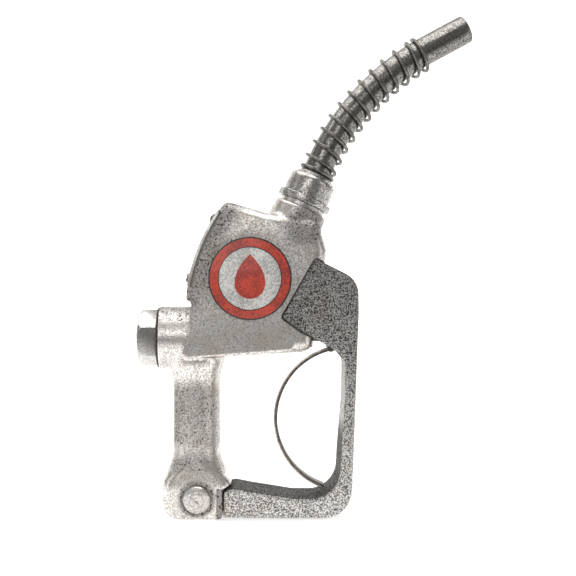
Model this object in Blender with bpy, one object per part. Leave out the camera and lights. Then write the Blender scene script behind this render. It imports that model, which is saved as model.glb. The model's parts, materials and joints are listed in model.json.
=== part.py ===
"""Pistol-grip fuel nozzle with a bent spout, an anchor spring, a lever guard and a sprung main valve.

The frame: the grip runs along +Z from the foot's flat bottom face at the origin, the spout leans
towards +X, the hose comes in along -X, and Y runs across the casting, which is symmetric about Y = 0.
"""

from math import acos, atan2, ceil, cos, pi, radians, sin, sqrt, tan

import bmesh
import bpy
from mathutils import Matrix, Vector

MM = 0.001

# Clearances
REST_GAP = 0.3 * MM  # between faces that touch on the real object
RUNNING_GAP = 0.15 * MM  # radial, between a pin or stem and its hole

# Overall sizes
AXIS_HEIGHT = 148.7 * MM  # from the foot's bottom face up to the valve's axis
SPOUT_DIAMETER = 23.8 * MM  # 15/16 inch, the size of a leaded-fuel spout
SPOUT_WALL = 1.4 * MM
SPOUT_LEAN = radians(66.0)  # of the neck above the horizontal
SPOUT_TIP_LEAN = radians(28.2)
SPOUT_BEND_RADIUS = 210.0 * MM
SPOUT_STRAIGHT_BASE = 7.0 * MM  # straight length above the spout nut
SPOUT_STRAIGHT_TIP = 35.0 * MM
CASTING_DEPTH = 50.0 * MM  # across Y
HOUSING_EDGE = 6.0 * MM  # radius of the casting's rounded edges
GRIP_DIAMETER = 38.8 * MM

# Valve barrel and hose inlet
BARREL_DIAMETER = 52.4 * MM
BARREL_END_X = -31.0 * MM
BARREL_BORE = 38.6 * MM
BARREL_INNER_X = 4.0 * MM  # the barrel runs this far into the housing
SHOULDER_X = 18.3 * MM  # where the barrel bore ends behind the valve seat
PORT_DIAMETER = 31.0 * MM
HEX_ACROSS_CORNERS = 47.8 * MM
HEX_LENGTH = 16.0 * MM
HEX_TURN = radians(36.5)
HOSE_BORE = 30.0 * MM  # 1 inch pipe thread, root size
HOSE_BORE_DEPTH = 20.0 * MM
INLET_PASSAGE = 22.0 * MM
INLET_SHANK_LENGTH = 16.0 * MM
GASKET_THICKNESS = 1.0 * MM

# Main valve
STEM_DIAMETER = 6.0 * MM
STEM_END_X = 108.5 * MM
POPPET_DIAMETER = 27.0 * MM
POPPET_BACK_X = 4.0 * MM
POPPET_THICKNESS = 4.0 * MM
SEAT_THICKNESS = 6.0 * MM
SEAT_BORE = 21.0 * MM
SPRING_WIRE = 2.0 * MM
SPRING_DIAMETER = 18.0 * MM
SPRING_TURNS = 4
GLAND_FACE_X = 92.0 * MM
GLAND_BORE = 12.4 * MM
GLAND_DEPTH = 13.0 * MM
PACKING_LENGTH = 6.0 * MM
PACKING_NUT_HEAD = 5.0 * MM
PACKING_NUT_ACROSS_CORNERS = 18.0 * MM

# Back cover, an arched plate that closes the window in the housing's back
COVER_RADIUS = 170.0 * MM  # outer face
COVER_THICKNESS = 3.0 * MM
COVER_WIDTH = 48.0 * MM
COVER_TOP = (18.3 * MM, 105.3 * MM)  # outer corners, as x and height above the valve's axis
COVER_BOTTOM = (-6.8 * MM, 43.3 * MM)
COVER_EDGE = 7.0 * MM  # from the plate's edge to a screw's centre
WINDOW_EDGE = 12.0 * MM
SCREW_DIAMETER = 4.0 * MM
SCREW_HEAD_DIAMETER = 7.6 * MM
SCREW_HEAD_HEIGHT = 2.2 * MM
SCREW_GRIP = 4.0 * MM  # thread in the housing wall

# Foot, guard and guard bolt
FOOT_DEPTH = 46.0 * MM
FOOT_EDGE = 3.5 * MM
FOOT_SLOT_FLOOR = 4.5 * MM
FOOT_SLOT_TOP = 26.5 * MM
FOOT_SLOT_END_X = -12.0 * MM
TONGUE_THICKNESS = 18.0 * MM
BOLT_X = 1.5 * MM
BOLT_Z = 17.5 * MM
BOLT_DIAMETER = 10.0 * MM
BOLT_HEAD_DIAMETER = 22.0 * MM
BOLT_HEAD_HEIGHT = 4.0 * MM
GUARD_NUT_ACROSS_CORNERS = 19.6 * MM
GUARD_NUT_HEIGHT = 8.0 * MM
GUARD_DEPTH = 42.0 * MM
GUARD_EDGE = 1.4 * MM
CHEEK_THICKNESS = 5.7 * MM
GUARD_GROOVE_WIDTH = 24.0 * MM
GUARD_GROOVE_DEPTH = 4.5 * MM
POCKET_CLEARANCE = 0.7 * MM

# Lever
PIVOT_X = 114.8 * MM
PIVOT_ABOVE_AXIS = 38.4 * MM
PIN_DIAMETER = 8.0 * MM
PIN_HEAD_DIAMETER = 14.0 * MM
PIN_HEAD_HEIGHT = 3.5 * MM
HUB_DIAMETER = 15.0 * MM
LEVER_THICKNESS = 12.0 * MM
STRAP_TOP_BELOW_AXIS = 7.7 * MM  # the highest point of the strap's arc
STRAP_TIP_HEIGHT = 24.3 * MM  # above the foot's bottom face
STRAP_HEEL_X = 122.4 * MM  # where the strap starts, under the lever's toe
STRAP_THICKNESS = 3.0 * MM
STRAP_WIDTH = 13.0 * MM
STRAP_TOP = radians(93.5)
STRAP_TIP = radians(251.0)
STRAP_RELIEF_X = 80.0 * MM
STRAP_RELIEF_BELOW_AXIS = 8.6 * MM
RIVET_DIAMETER = 3.6 * MM
RIVET_INSET = 2.8 * MM  # along the strap, from its end to the first rivet
RIVET_SPACING = 6.7 * MM
HEEL_LENGTH = 11.8 * MM  # of the strap, under the lever arm

# Spout nut, lock ring, flange and anchor spring, as distances along the neck from its face
NECK_FACE_X = 87.7 * MM
NECK_FACE_ABOVE_AXIS = 109.3 * MM
NECK_WALL = 10.7 * MM  # from the bore out to the cast neck's side
SHOULDER_HEIGHT = 3.4 * MM
SPIGOT_WALL = 4.2 * MM
SPIGOT_TOP = 17.0 * MM
LOCK_RING_LOW = 3.8 * MM
LOCK_RING_HEIGHT = 5.4 * MM
NUT_WALL = 3.3 * MM
NUT_STRAIGHT_TOP = 24.5 * MM
NUT_TOP = 31.0 * MM
FLANGE_HEIGHT = 3.4 * MM
ANCHOR_WIRE = 2.9 * MM
ANCHOR_TURNS = 12.5
ANCHOR_LENGTH = 135.0 * MM
ANCHOR_GAP = 0.95 * MM  # from the spout out to the wire

# Check valve in the neck bore
CHECK_SEAT_LOW = -26.0 * MM
CHECK_SEAT_HEIGHT = 4.0 * MM
CHECK_SEAT_BORE = 16.0 * MM
CHECK_DISC_THICKNESS = 2.5 * MM
CHECK_STEM_DIAMETER = 5.0 * MM
CHECK_GUIDE_LOW = -12.0 * MM
CHECK_GUIDE_HEIGHT = 2.5 * MM
CHECK_WIRE = 0.9 * MM
CHECK_TURNS = 3
SPOUT_INNER_END = -8.0 * MM

BADGE_DIAMETER = 68.0 * MM
BADGE_THICKNESS = 0.6 * MM
BADGE_X = 45.0 * MM
BADGE_ABOVE_AXIS = 49.5 * MM

# Sizes that follow from the ones above
HALF_CASTING = CASTING_DEPTH / 2
HALF_GUARD = GUARD_DEPTH / 2
CHEEK_INNER = HALF_GUARD - CHEEK_THICKNESS
NOSE_HALF = CHEEK_INNER - REST_GAP
SPOUT_RADIUS = SPOUT_DIAMETER / 2
NECK_BORE_RADIUS = SPOUT_RADIUS + REST_GAP
NECK_RADIUS = NECK_BORE_RADIUS + NECK_WALL
SPIGOT_RADIUS = NECK_BORE_RADIUS + SPIGOT_WALL
NUT_BORE_RADIUS = SPIGOT_RADIUS + REST_GAP
NUT_RADIUS = NUT_BORE_RADIUS + NUT_WALL
SHOULDER_RADIUS = NUT_RADIUS - 0.6 * MM
LOCK_RING_RADIUS = NUT_RADIUS + 2.9 * MM
FLANGE_LOW = SPIGOT_TOP + REST_GAP + GASKET_THICKNESS + REST_GAP
FLANGE_RADIUS = SPIGOT_RADIUS - 0.4 * MM
ANCHOR_RADIUS = SPOUT_RADIUS + ANCHOR_GAP + ANCHOR_WIRE / 2
STEM_RADIUS = STEM_DIAMETER / 2
STEM_BORE_RADIUS = STEM_RADIUS + RUNNING_GAP
PIN_RADIUS = PIN_DIAMETER / 2
PIN_BORE_RADIUS = PIN_RADIUS + RUNNING_GAP
BARREL_BORE_RADIUS = BARREL_BORE / 2
SHANK_RADIUS = BARREL_BORE_RADIUS - REST_GAP
VALVE_FRAME = Vector((0, 0, AXIS_HEIGHT))
PIVOT = Vector((PIVOT_X, 0, AXIS_HEIGHT + PIVOT_ABOVE_AXIS))
NECK_FACE = Vector((NECK_FACE_X, 0, AXIS_HEIGHT + NECK_FACE_ABOVE_AXIS))
NECK_AXIS = Vector((cos(SPOUT_LEAN), 0, sin(SPOUT_LEAN)))
STRAP_RADIUS = (AXIS_HEIGHT - STRAP_TOP_BELOW_AXIS - STRAP_TIP_HEIGHT) / (1 - sin(STRAP_TIP))
STRAP_CENTRE = Vector(
    (STRAP_HEEL_X - STRAP_RADIUS * cos(STRAP_TOP), 0, AXIS_HEIGHT - STRAP_TOP_BELOW_AXIS - STRAP_RADIUS)
)
RIVET_ANGLES = [STRAP_TOP + (RIVET_INSET + RIVET_SPACING * i) / STRAP_RADIUS for i in range(2)]
ALONG_X = Vector((1, 0, 0))
ALONG_Y = Vector((0, 1, 0))

FINE = 28  # facets round a large turned piece
COARSE = 16  # facets round a small one
ARC_STEP = radians(20)


def material(name, colour, roughness, metallic):
    made = bpy.data.materials.new(name)
    made.use_nodes = True
    shader = made.node_tree.nodes["Principled BSDF"]
    shader.inputs["Base Color"].default_value = (*colour, 1)
    shader.inputs["Roughness"].default_value = roughness
    shader.inputs["Metallic"].default_value = metallic
    return made


def palette():
    return {
        "polished_casting": material("polished_casting", (0.62, 0.60, 0.58), 0.32, 1.0),
        "rough_casting": material("rough_casting", (0.36, 0.35, 0.34), 0.55, 1.0),
        "spout_steel": material("spout_steel", (0.42, 0.40, 0.38), 0.28, 1.0),
        "dark_steel": material("dark_steel", (0.20, 0.19, 0.18), 0.38, 1.0),
        "trigger_steel": material("trigger_steel", (0.24, 0.21, 0.19), 0.35, 1.0),
        "brass": material("brass", (0.72, 0.55, 0.27), 0.35, 1.0),
        "rubber": material("rubber", (0.03, 0.03, 0.03), 0.75, 0.0),
        "fibre": material("fibre", (0.28, 0.22, 0.17), 0.8, 0.0),
        "enamel": material("enamel", (0.62, 0.07, 0.05), 0.35, 0.0),
    }


def clear_scene():
    for old in list(bpy.data.objects):
        bpy.data.objects.remove(old, do_unlink=True)


def new_object(name, mesh_builder, finish=None):
    """An object from a bmesh, with its normals pointing out."""
    bmesh.ops.recalc_face_normals(mesh_builder, faces=mesh_builder.faces)
    mesh = bpy.data.meshes.new(name)
    mesh_builder.to_mesh(mesh)
    mesh_builder.free()
    if finish is not None:
        mesh.materials.append(finish)
    made = bpy.data.objects.new(name, mesh)
    bpy.context.scene.collection.objects.link(made)
    mesh.shade_smooth()
    mesh.set_sharp_from_angle(angle=radians(28))
    return made


def frame_of(origin, direction, turn=0.0):
    """A matrix that carries +Z onto a direction at an origin, after a turn about it."""
    swing = direction.to_track_quat("Z", "Y").to_matrix().to_4x4()
    return Matrix.Translation(origin) @ swing @ Matrix.Rotation(turn, 4, "Z")


def turned(name, profile, frame, finish=None, facets=FINE):
    """A lathe-turned solid. The profile holds (radius, height) points: a ring's goes all the way round,
    and a solid's starts and ends on the axis."""
    shape = bmesh.new()
    points = [shape.verts.new((radius, 0, height)) for radius, height in profile]
    on_axis = profile[0][0] == 0 and profile[-1][0] == 0
    last = len(points) - 1 if on_axis else len(points)
    edges = [shape.edges.new((points[i], points[(i + 1) % len(points)])) for i in range(last)]
    bmesh.ops.spin(
        shape,
        geom=points + edges,
        cent=(0, 0, 0),
        axis=(0, 0, 1),
        angle=2 * pi,
        steps=facets,
        use_merge=True,
    )
    bmesh.ops.remove_doubles(shape, verts=shape.verts, dist=0.002 * MM)
    made = new_object(name, shape, finish)
    made.matrix_world = frame
    return made


def rod(name, radius, low, high, frame, finish=None, facets=COARSE):
    """A plain cylinder from one height to another along a frame's axis."""
    profile = [(0, low), (radius, low), (radius, high), (0, high)]
    return turned(name, profile, frame, finish, facets)


def ring(name, inner, outer, low, high, frame, finish=None, facets=FINE):
    """A plain ring or tube from one height to another along a frame's axis."""
    profile = [(inner, low), (outer, low), (outer, high), (inner, high)]
    return turned(name, profile, frame, finish, facets)


def rounded(corners):
    """The outline through (x, z, radius) corners, with an arc at each corner that has a radius."""
    outline = []
    count = len(corners)
    for i, (x, z, radius) in enumerate(corners):
        here = Vector((x, z))
        if radius == 0:
            outline.append(here)
            continue
        before = (Vector(corners[i - 1][:2]) - here).normalized()
        after = (Vector(corners[(i + 1) % count][:2]) - here).normalized()
        half = acos(max(-1.0, min(1.0, before.dot(after)))) / 2
        centre = here + (before + after).normalized() * (radius / sin(half))
        start = here + before * (radius / tan(half)) - centre
        sweep = pi - 2 * half
        side = 1 if before.x * after.y - before.y * after.x < 0 else -1
        steps = max(2, ceil(sweep / ARC_STEP))
        for step in range(steps + 1):
            angle = side * sweep * step / steps
            turn = Matrix.Rotation(angle, 2)
            outline.append(centre + turn @ start)
    return outline


def prism(name, outline, low, high, finish=None):
    """A solid of constant section: an outline in X and Z, drawn out along Y."""
    shape = bmesh.new()
    face = shape.faces.new([shape.verts.new((p[0], low, p[1])) for p in outline])
    drawn = bmesh.ops.extrude_face_region(shape, geom=[face])
    moved = [v for v in drawn["geom"] if isinstance(v, bmesh.types.BMVert)]
    bmesh.ops.translate(shape, verts=moved, vec=(0, high - low, 0))
    return new_object(name, shape, finish)


def shrunk(corners, inset):
    """The same (x, z, radius) corners moved inwards by an inset. Convex radii lose it, concave ones gain
    it, so that the rounded outline keeps its number of points."""
    points = [Vector(corner[:2]) for corner in corners]
    edges = [points[(i + 1) % len(points)] - p for i, p in enumerate(points)]
    area = sum(p.x * points[(i + 1) % len(points)].y - p.y * points[(i + 1) % len(points)].x
               for i, p in enumerate(points))
    side = 1 if area > 0 else -1
    inward = [Vector((-edge.y, edge.x)).normalized() * side for edge in edges]
    moved = []
    for i, (x, z, radius) in enumerate(corners):
        before, after = inward[i - 1], inward[i]
        shift = (before + after) * (inset / (1 + before.dot(after)))
        convex = edges[i - 1].cross(edges[i]) * side > 0
        if radius > 0:
            radius = max(radius - inset, 0.1 * MM) if convex else radius + inset
        moved.append((x + shift.x, z + shift.y, radius))
    return moved


def slab(name, corners, half_width, edge_radius, steps, finish=None):
    """A cast slab, symmetric about Y = 0, whose edges are rounded all the way round its outline."""
    shape = bmesh.new()
    sections = []
    for step in range(steps + 1):
        angle = pi / 2 * step / steps
        inset = edge_radius * (1 - sin(angle))
        sections.append((half_width - edge_radius * (1 - cos(angle)), rounded(shrunk(corners, inset))))
    sections = [(-y, outline) for y, outline in sections] + sections[::-1]
    rows = [[shape.verts.new((p[0], y, p[1])) for p in outline] for y, outline in sections]
    shape.faces.new(rows[0])
    shape.faces.new(rows[-1])
    for first, second in zip(rows, rows[1:]):
        for i in range(len(first)):
            j = (i + 1) % len(first)
            shape.faces.new((first[i], first[j], second[j], second[i]))
    return new_object(name, shape, finish)


def box(name, low, high, finish=None):
    outline = [(low[0], low[2]), (high[0], low[2]), (high[0], high[2]), (low[0], high[2])]
    return prism(name, outline, low[1], high[1], finish)


def boolean(target, tool, operation):
    """Cuts, joins or intersects the target with a tool, and removes the tool. The solver is the manifold
    one because the exact one leaves open edges on this part's ring-shaped faces."""
    bpy.context.view_layer.update()
    modifier = target.modifiers.new("boolean", "BOOLEAN")
    modifier.operation = operation
    modifier.object = tool
    modifier.solver = "MANIFOLD"
    graph = bpy.context.evaluated_depsgraph_get()
    result = bpy.data.meshes.new_from_object(target.evaluated_get(graph))
    target.modifiers.remove(modifier)
    finish = target.data.materials[0] if target.data.materials else None
    target.data = result
    result.materials.clear()
    if finish is not None:
        result.materials.append(finish)
    bpy.data.objects.remove(tool, do_unlink=True)
    result.shade_smooth()
    result.set_sharp_from_angle(angle=radians(28))


def cut(target, first, *others):
    """Cuts the target once, with all the tools joined."""
    for other in others:
        boolean(first, other, "UNION")
    boolean(target, first, "DIFFERENCE")


def join(target, *tools):
    for tool in tools:
        boolean(target, tool, "UNION")


def coil(name, path, wire, finish):
    """A wire that follows a list of points. The ends are closed."""
    curve = bpy.data.curves.new(name, "CURVE")
    curve.dimensions = "3D"
    curve.bevel_depth = wire / 2
    curve.bevel_resolution = 0
    curve.use_fill_caps = True
    spline = curve.splines.new("POLY")
    spline.points.add(len(path) - 1)
    for point, place in zip(spline.points, path):
        point.co = (*place, 1)
    curve.materials.append(finish)
    made = bpy.data.objects.new(name, curve)
    bpy.context.scene.collection.objects.link(made)
    return made


def helix(radius, low, high, turns, frame, per_turn=12, closed_ends=0.0):
    """Points of a compression spring's wire. A closed end has a turn with no pitch."""
    points = []
    count = int(turns * per_turn)
    for i in range(count + 1):
        turn = turns * i / count
        share = (turn - closed_ends) / (turns - 2 * closed_ends)
        height = low + (high - low) * max(0.0, min(1.0, share))
        angle = 2 * pi * turn
        points.append(frame @ Vector((radius * cos(angle), radius * sin(angle), height)))
    return points


def hold(group, origin, *pieces):
    """An empty on a joint's axis, which carries the pieces that move on it."""
    carrier = bpy.data.objects.new(group, None)
    carrier.location = origin
    bpy.context.scene.collection.objects.link(carrier)
    bpy.context.view_layer.update()
    for piece in pieces:
        place = piece.matrix_world.copy()
        piece.parent = carrier
        piece.matrix_parent_inverse = carrier.matrix_world.inverted()
        piece.matrix_world = place


def above_axis(*corners):
    """Corners given as (x, height above the valve's axis, radius) in millimetres, in the part's frame."""
    return [(x * MM, AXIS_HEIGHT + z * MM, radius * MM) for x, z, radius in corners]


def above_foot(*corners):
    """Corners given as (x, z, radius) in millimetres above the foot's bottom face."""
    return [(x * MM, z * MM, radius * MM) for x, z, radius in corners]


# The back cover's arc: its centre lies in front of the plate, on the chord's mid-line


def cover_arc():
    """The centre of the cover's arc and the angles of its bottom and top ends."""
    top = Vector((COVER_TOP[0], COVER_TOP[1] + AXIS_HEIGHT))
    bottom = Vector((COVER_BOTTOM[0], COVER_BOTTOM[1] + AXIS_HEIGHT))
    chord = top - bottom
    across = Vector((chord.y, -chord.x)).normalized()
    centre = (top + bottom) / 2 + across * sqrt(COVER_RADIUS**2 - (chord.length / 2) ** 2)
    low, high = (atan2(p.y - centre.y, p.x - centre.x) % (2 * pi) for p in (bottom, top))
    return centre, low, high


COVER_CENTRE, COVER_LOW, COVER_HIGH = cover_arc()
HOUSING_BACK_RADIUS = COVER_RADIUS - COVER_THICKNESS - GASKET_THICKNESS - 2 * REST_GAP


def arc_point(radius, angle):
    return COVER_CENTRE + Vector((radius * cos(angle), radius * sin(angle)))


def back_arc(radius, start, end, steps=8):
    """Points on the back cover's arc, at another radius, from one angle to another."""
    return [arc_point(radius, start + (end - start) * i / steps) for i in range(steps + 1)]


def arched_plate(name, outer, inner, inset, half_width, finish=None):
    """A plate bent to the back cover's arc, cut back by an inset at its two ends."""
    margin = inset / COVER_RADIUS
    outline = back_arc(outer, COVER_LOW - margin, COVER_HIGH + margin)
    outline += back_arc(inner, COVER_HIGH + margin, COVER_LOW - margin)
    return prism(name, outline, -half_width, half_width, finish)


def cover_screw_frames():
    """Frames at the four screws, on the plate's outer face, with +Z pointing out of the housing."""
    margin = COVER_EDGE / COVER_RADIUS
    frames = []
    for angle in (COVER_LOW - margin, COVER_HIGH + margin):
        for side in (-1, 1):
            at = arc_point(COVER_RADIUS, angle)
            place = Vector((at.x, side * (COVER_WIDTH / 2 - COVER_EDGE), at.y))
            frames.append(frame_of(place, Vector((cos(angle), 0, sin(angle)))))
    return frames


# The guard and the lever chamber's walls share these corners with the housing's nose


def cheek_corners(grow):
    """The cheek's two free edges, moved out by a clearance where the housing is cut for it."""
    g = grow / MM
    return above_axis(
        (98.3 + 0.2 * g, 66.9 + g, 3),
        (70.2 - g, 17.2, 3.5),
        (86.9 - 0.2 * g, 5.2 - g, 0),
        (96.5, 1.2 - g, 0),
        (110.6, -6.7 - g, 0),
    )


def housing_corners():
    """The housing's side view, from its top back corner round the nose, the underside and the back."""
    corners = above_axis(
        (24.8, 113.6, 5),
        (59.0, 104.0, 0),
        (105.2, 97.5, 4),
        (103.4, 87.5, 9),
        (108.6, 72.5, 6),
        (106.6, 61.0, 0),
        (100.5, 36.0, 0),
        (96.6, 14.0, 0),
        (96.2, -10.6, 8),
        (-10.6, -18.2, 4),
        (-2.4, 9.0, 8),
        (-2.4, 30.8, 0),
        (-7.6, 31.4, 4),
    )
    return corners + [(p.x, p.y, 0) for p in back_arc(COVER_RADIUS, COVER_LOW, COVER_HIGH)]


def chamber_outline():
    """The fuel chamber inside the housing, a wall's thickness inside its skin."""
    corners = above_axis(
        (22.3, -9.8, 4),
        (22.3, 27.0, 3),
        (5.6, 33.0, 3),
        (9.2, 56.0, 0),
        (14.0, 79.5, 0),
        (26.0, 101.0, 4),
        (60.0, 93.5, 0),
        (97.0, 86.0, 4),
        (98.0, 75.0, 4),
        (64.8, 21.5, 4),
        (62.0, -8.6, 4),
    )
    return rounded(corners)


def foot_corners():
    return above_foot(
        (-27.8, 0, 11),
        (22.4, 0, 2),
        (22.4, 25.0, 0),
        (33.8, 28.3, 0),
        (24.2, 38.0, 10),
        (19.0, 52.0, 0),
        (-19.0, 52.0, 0),
        (-21.6, 43.0, 8),
        (-27.8, 32.5, 8),
    )


def neck_frame():
    return frame_of(NECK_FACE, NECK_AXIS)


def valve_frame(turn=0.0):
    """A frame on the valve's axis with +Z along +X, so that heights along it are x values."""
    return frame_of(VALVE_FRAME, ALONG_X, turn)


def across_frame(x, z, turn=0.0):
    """A frame with +Z along +Y, through a point in the side view."""
    return frame_of(Vector((x, 0, z)), ALONG_Y, turn)


def guard_screw_places():
    """The two screws that hold the rear cheek to the housing's nose."""
    return [(86.5 * MM, AXIS_HEIGHT + 24.0 * MM), (99.0 * MM, AXIS_HEIGHT + 54.0 * MM)]


def make_body_casting(finish):
    body = slab("body_casting", housing_corners(), HALF_CASTING, HOUSING_EDGE, 3, finish)
    valve = valve_frame()
    neck = neck_frame()
    grip = frame_of(Vector((0, 0, 0)), Vector((0, 0, 1)))
    join(
        body,
        rod("barrel", BARREL_DIAMETER / 2, BARREL_END_X, BARREL_INNER_X, valve, None, FINE),
        rod("grip", GRIP_DIAMETER / 2, 40 * MM, AXIS_HEIGHT - 6 * MM, grip, None, FINE),
        slab("foot", foot_corners(), FOOT_DEPTH / 2, FOOT_EDGE, 2),
        turned(
            "neck",
            [
                (0, -30 * MM),
                (NECK_RADIUS, -30 * MM),
                (NECK_RADIUS, -2 * MM),
                (NECK_RADIUS - 2 * MM, 0),
                (SHOULDER_RADIUS, 0),
                (SHOULDER_RADIUS, SHOULDER_HEIGHT),
                (SPIGOT_RADIUS, SHOULDER_HEIGHT),
                (SPIGOT_RADIUS, SPIGOT_TOP),
                (0, SPIGOT_TOP),
            ],
            neck,
        ),
    )
    chamber_half = HALF_CASTING - 6 * MM
    bore = [
        (0, BARREL_END_X - 5 * MM),
        (BARREL_BORE_RADIUS, BARREL_END_X - 5 * MM),
        (BARREL_BORE_RADIUS, SHOULDER_X),
        (PORT_DIAMETER / 2, SHOULDER_X),
        (PORT_DIAMETER / 2, 26 * MM),
        (0, 26 * MM),
    ]
    passages = prism("passages", chamber_outline(), -chamber_half, chamber_half)
    join(
        passages,
        turned("bore", bore, valve),
        rod("neck_bore", NECK_BORE_RADIUS, -40 * MM, SPIGOT_TOP + 5 * MM, neck, None, FINE),
    )
    cut(body, passages)
    cut_cover_seat(body)
    cut_nose(body)
    cut_foot(body)
    return body


def cut_cover_seat(body):
    """The arched seat for the back cover, the window behind it and the four tapped screw holes."""
    cut(body, arched_plate("seat", COVER_RADIUS + 6 * MM, HOUSING_BACK_RADIUS, 0, HALF_CASTING * 2))
    margin = WINDOW_EDGE / COVER_RADIUS
    outline = back_arc(COVER_RADIUS + 5 * MM, COVER_LOW - margin, COVER_HIGH + margin)
    outline += back_arc(COVER_RADIUS - 22 * MM, COVER_HIGH + margin, COVER_LOW - margin)
    half = COVER_WIDTH / 2 - WINDOW_EDGE
    cut(body, prism("window", outline, -half, half))
    depth = COVER_THICKNESS + GASKET_THICKNESS + 2 * REST_GAP + SCREW_GRIP + REST_GAP
    hole = SCREW_DIAMETER / 2 + REST_GAP
    cut(body, *[rod("hole", hole, -depth, 5 * MM, frame, None, 12) for frame in cover_screw_frames()])


def cut_nose(body):
    """The pockets for the guard's cheeks, the packing gland and the guard's screw holes."""
    pocket = rounded(
        cheek_corners(POCKET_CLEARANCE)
        + above_axis((140, -7.5, 0), (140, 45, 0), (118.0, 56.0, 0))
    )
    outside = HALF_CASTING + 5 * MM
    cut(
        body,
        prism("front_pocket", pocket, -outside, -NOSE_HALF),
        prism("rear_pocket", pocket, NOSE_HALF, outside),
    )
    gland_low = AXIS_HEIGHT - 10 * MM
    gland_high = AXIS_HEIGHT + 10 * MM
    half = NOSE_HALF + 1 * MM
    relief = STRAP_WIDTH / 2 + 1.5 * MM
    relief_end = (GLAND_FACE_X + 1 * MM, relief, AXIS_HEIGHT - STRAP_RELIEF_BELOW_AXIS)
    valve = valve_frame()
    cut(
        body,
        box("gland_face", (GLAND_FACE_X, -half, gland_low), (120 * MM, half, gland_high)),
        box("strap_relief", (STRAP_RELIEF_X, -relief, gland_low - 10 * MM), relief_end),
        rod("stem_hole", STEM_BORE_RADIUS, 55 * MM, 100 * MM, valve),
        rod("gland", GLAND_BORE / 2, GLAND_FACE_X - GLAND_DEPTH, GLAND_FACE_X + 5 * MM, valve),
    )
    hole = SCREW_DIAMETER / 2 + REST_GAP
    frames = [across_frame(x, z) for x, z in guard_screw_places()]
    cut(body, *[rod("hole", hole, NOSE_HALF - 8 * MM, HALF_CASTING, f, None, 12) for f in frames])


def cut_foot(body):
    """The slot for the guard's tongue, the bolt's hole and the spot face round its head."""
    slot_half = TONGUE_THICKNESS / 2 + REST_GAP
    bolt = across_frame(BOLT_X, BOLT_Z)
    spot = BOLT_HEAD_DIAMETER / 2 + 2 * MM
    cut(
        body,
        box(
            "slot",
            (FOOT_SLOT_END_X, -slot_half, FOOT_SLOT_FLOOR),
            (50 * MM, slot_half, FOOT_SLOT_TOP),
        ),
        rod("bolt_hole", BOLT_DIAMETER / 2 + REST_GAP, -40 * MM, 40 * MM, bolt),
        rod("spot_face", spot, -40 * MM, -FOOT_DEPTH / 2 + 1 * MM, bolt),
        rod("nut_face", spot, FOOT_DEPTH / 2 - 1 * MM, 40 * MM, bolt),
    )


def guard_corners():
    """The guard's side view: round the outside from the foot, then back along the finger opening."""
    base = above_foot((23.0, 1.8, 0), (80.0, 1.0, 0), (128.4, 1.0, 24), (129.8, 40.0, 0))
    crown = above_axis((134.6, 22.0, 0), (134.2, 48.5, 19), (106.9, 62.2, 0))
    cheek = cheek_corners(0)
    arm = above_axis((118.0, -12.2, 0), (123.4, -18.6, 8), (123.0, -50.0, 0))
    opening = above_foot((119.2, 52.0, 0), (117.6, 17.2, 24), (80.0, 17.6, 0), (46.6, 23.0, 0))
    root = above_foot((32.0, 25.8, 0), (23.0, 23.6, 0))
    return base + crown + cheek + arm + opening + root


def lever_chamber():
    """The space between the cheeks, which takes the housing's nose and the lever arm."""
    return rounded(
        above_axis(
            (60, -30, 0),
            (60, 20, 0),
            (95, 80, 0),
            (110.8, 80, 0),
            (110.8, 52.6, 2),
            (119.5, 47.0, 5),
            (127.4, 36.0, 6),
            (127.4, -8.0, 4),
            (121.8, -20.0, 0),
            (121.8, -30, 0),
        )
    )


def guard_groove():
    """The trough cast into the outer side of the guard's upright and base, to save weight."""
    d = GUARD_GROOVE_DEPTH / MM
    near = above_foot((30.0, 1.0 + d, 0), (114.0, 1.2 + d, 22), (129.0 - d, 34.0, 4))
    high = above_axis((133.0 - d, -12.0, 4), (150.0, -12.0, 0))
    return rounded(near + high + above_foot((150.0, -20.0, 0), (30.0, -20.0, 0)))


def make_guard(finish):
    guard = slab("guard", guard_corners(), HALF_GUARD, GUARD_EDGE, 1, finish)
    tongue_low = FOOT_SLOT_FLOOR + 0.5 * MM
    tongue_high = FOOT_SLOT_TOP - 0.5 * MM
    half = TONGUE_THICKNESS / 2
    start = FOOT_SLOT_END_X + 1 * MM
    join(guard, box("tongue", (start, -half, tongue_low), (30 * MM, half, tongue_high)))
    groove_half = GUARD_GROOVE_WIDTH / 2
    pivot = across_frame(PIVOT.x, PIVOT.z)
    cut(
        guard,
        prism("groove", guard_groove(), -groove_half, groove_half),
        prism("lever_chamber", lever_chamber(), -CHEEK_INNER, CHEEK_INNER),
        rod("bolt_hole", BOLT_DIAMETER / 2 + REST_GAP, -40 * MM, 40 * MM, across_frame(BOLT_X, BOLT_Z)),
        rod("pin_hole", PIN_BORE_RADIUS, -CHEEK_INNER - 3 * MM, 40 * MM, pivot),
    )
    head = PIN_HEAD_DIAMETER / 2 + REST_GAP
    cut(guard, rod("pin_seat", head, HALF_GUARD - PIN_HEAD_HEIGHT + 1 * MM, 40 * MM, pivot))
    screw_head = SCREW_HEAD_DIAMETER / 2 + REST_GAP
    for x, z in guard_screw_places():
        frame = across_frame(x, z)
        cut(guard, rod("hole", SCREW_DIAMETER / 2 + REST_GAP, 0, 40 * MM, frame, None, 12))
        cut(guard, rod("seat", screw_head, HALF_GUARD - SCREW_HEAD_HEIGHT, 40 * MM, frame, None, 20))
    return guard


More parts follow.
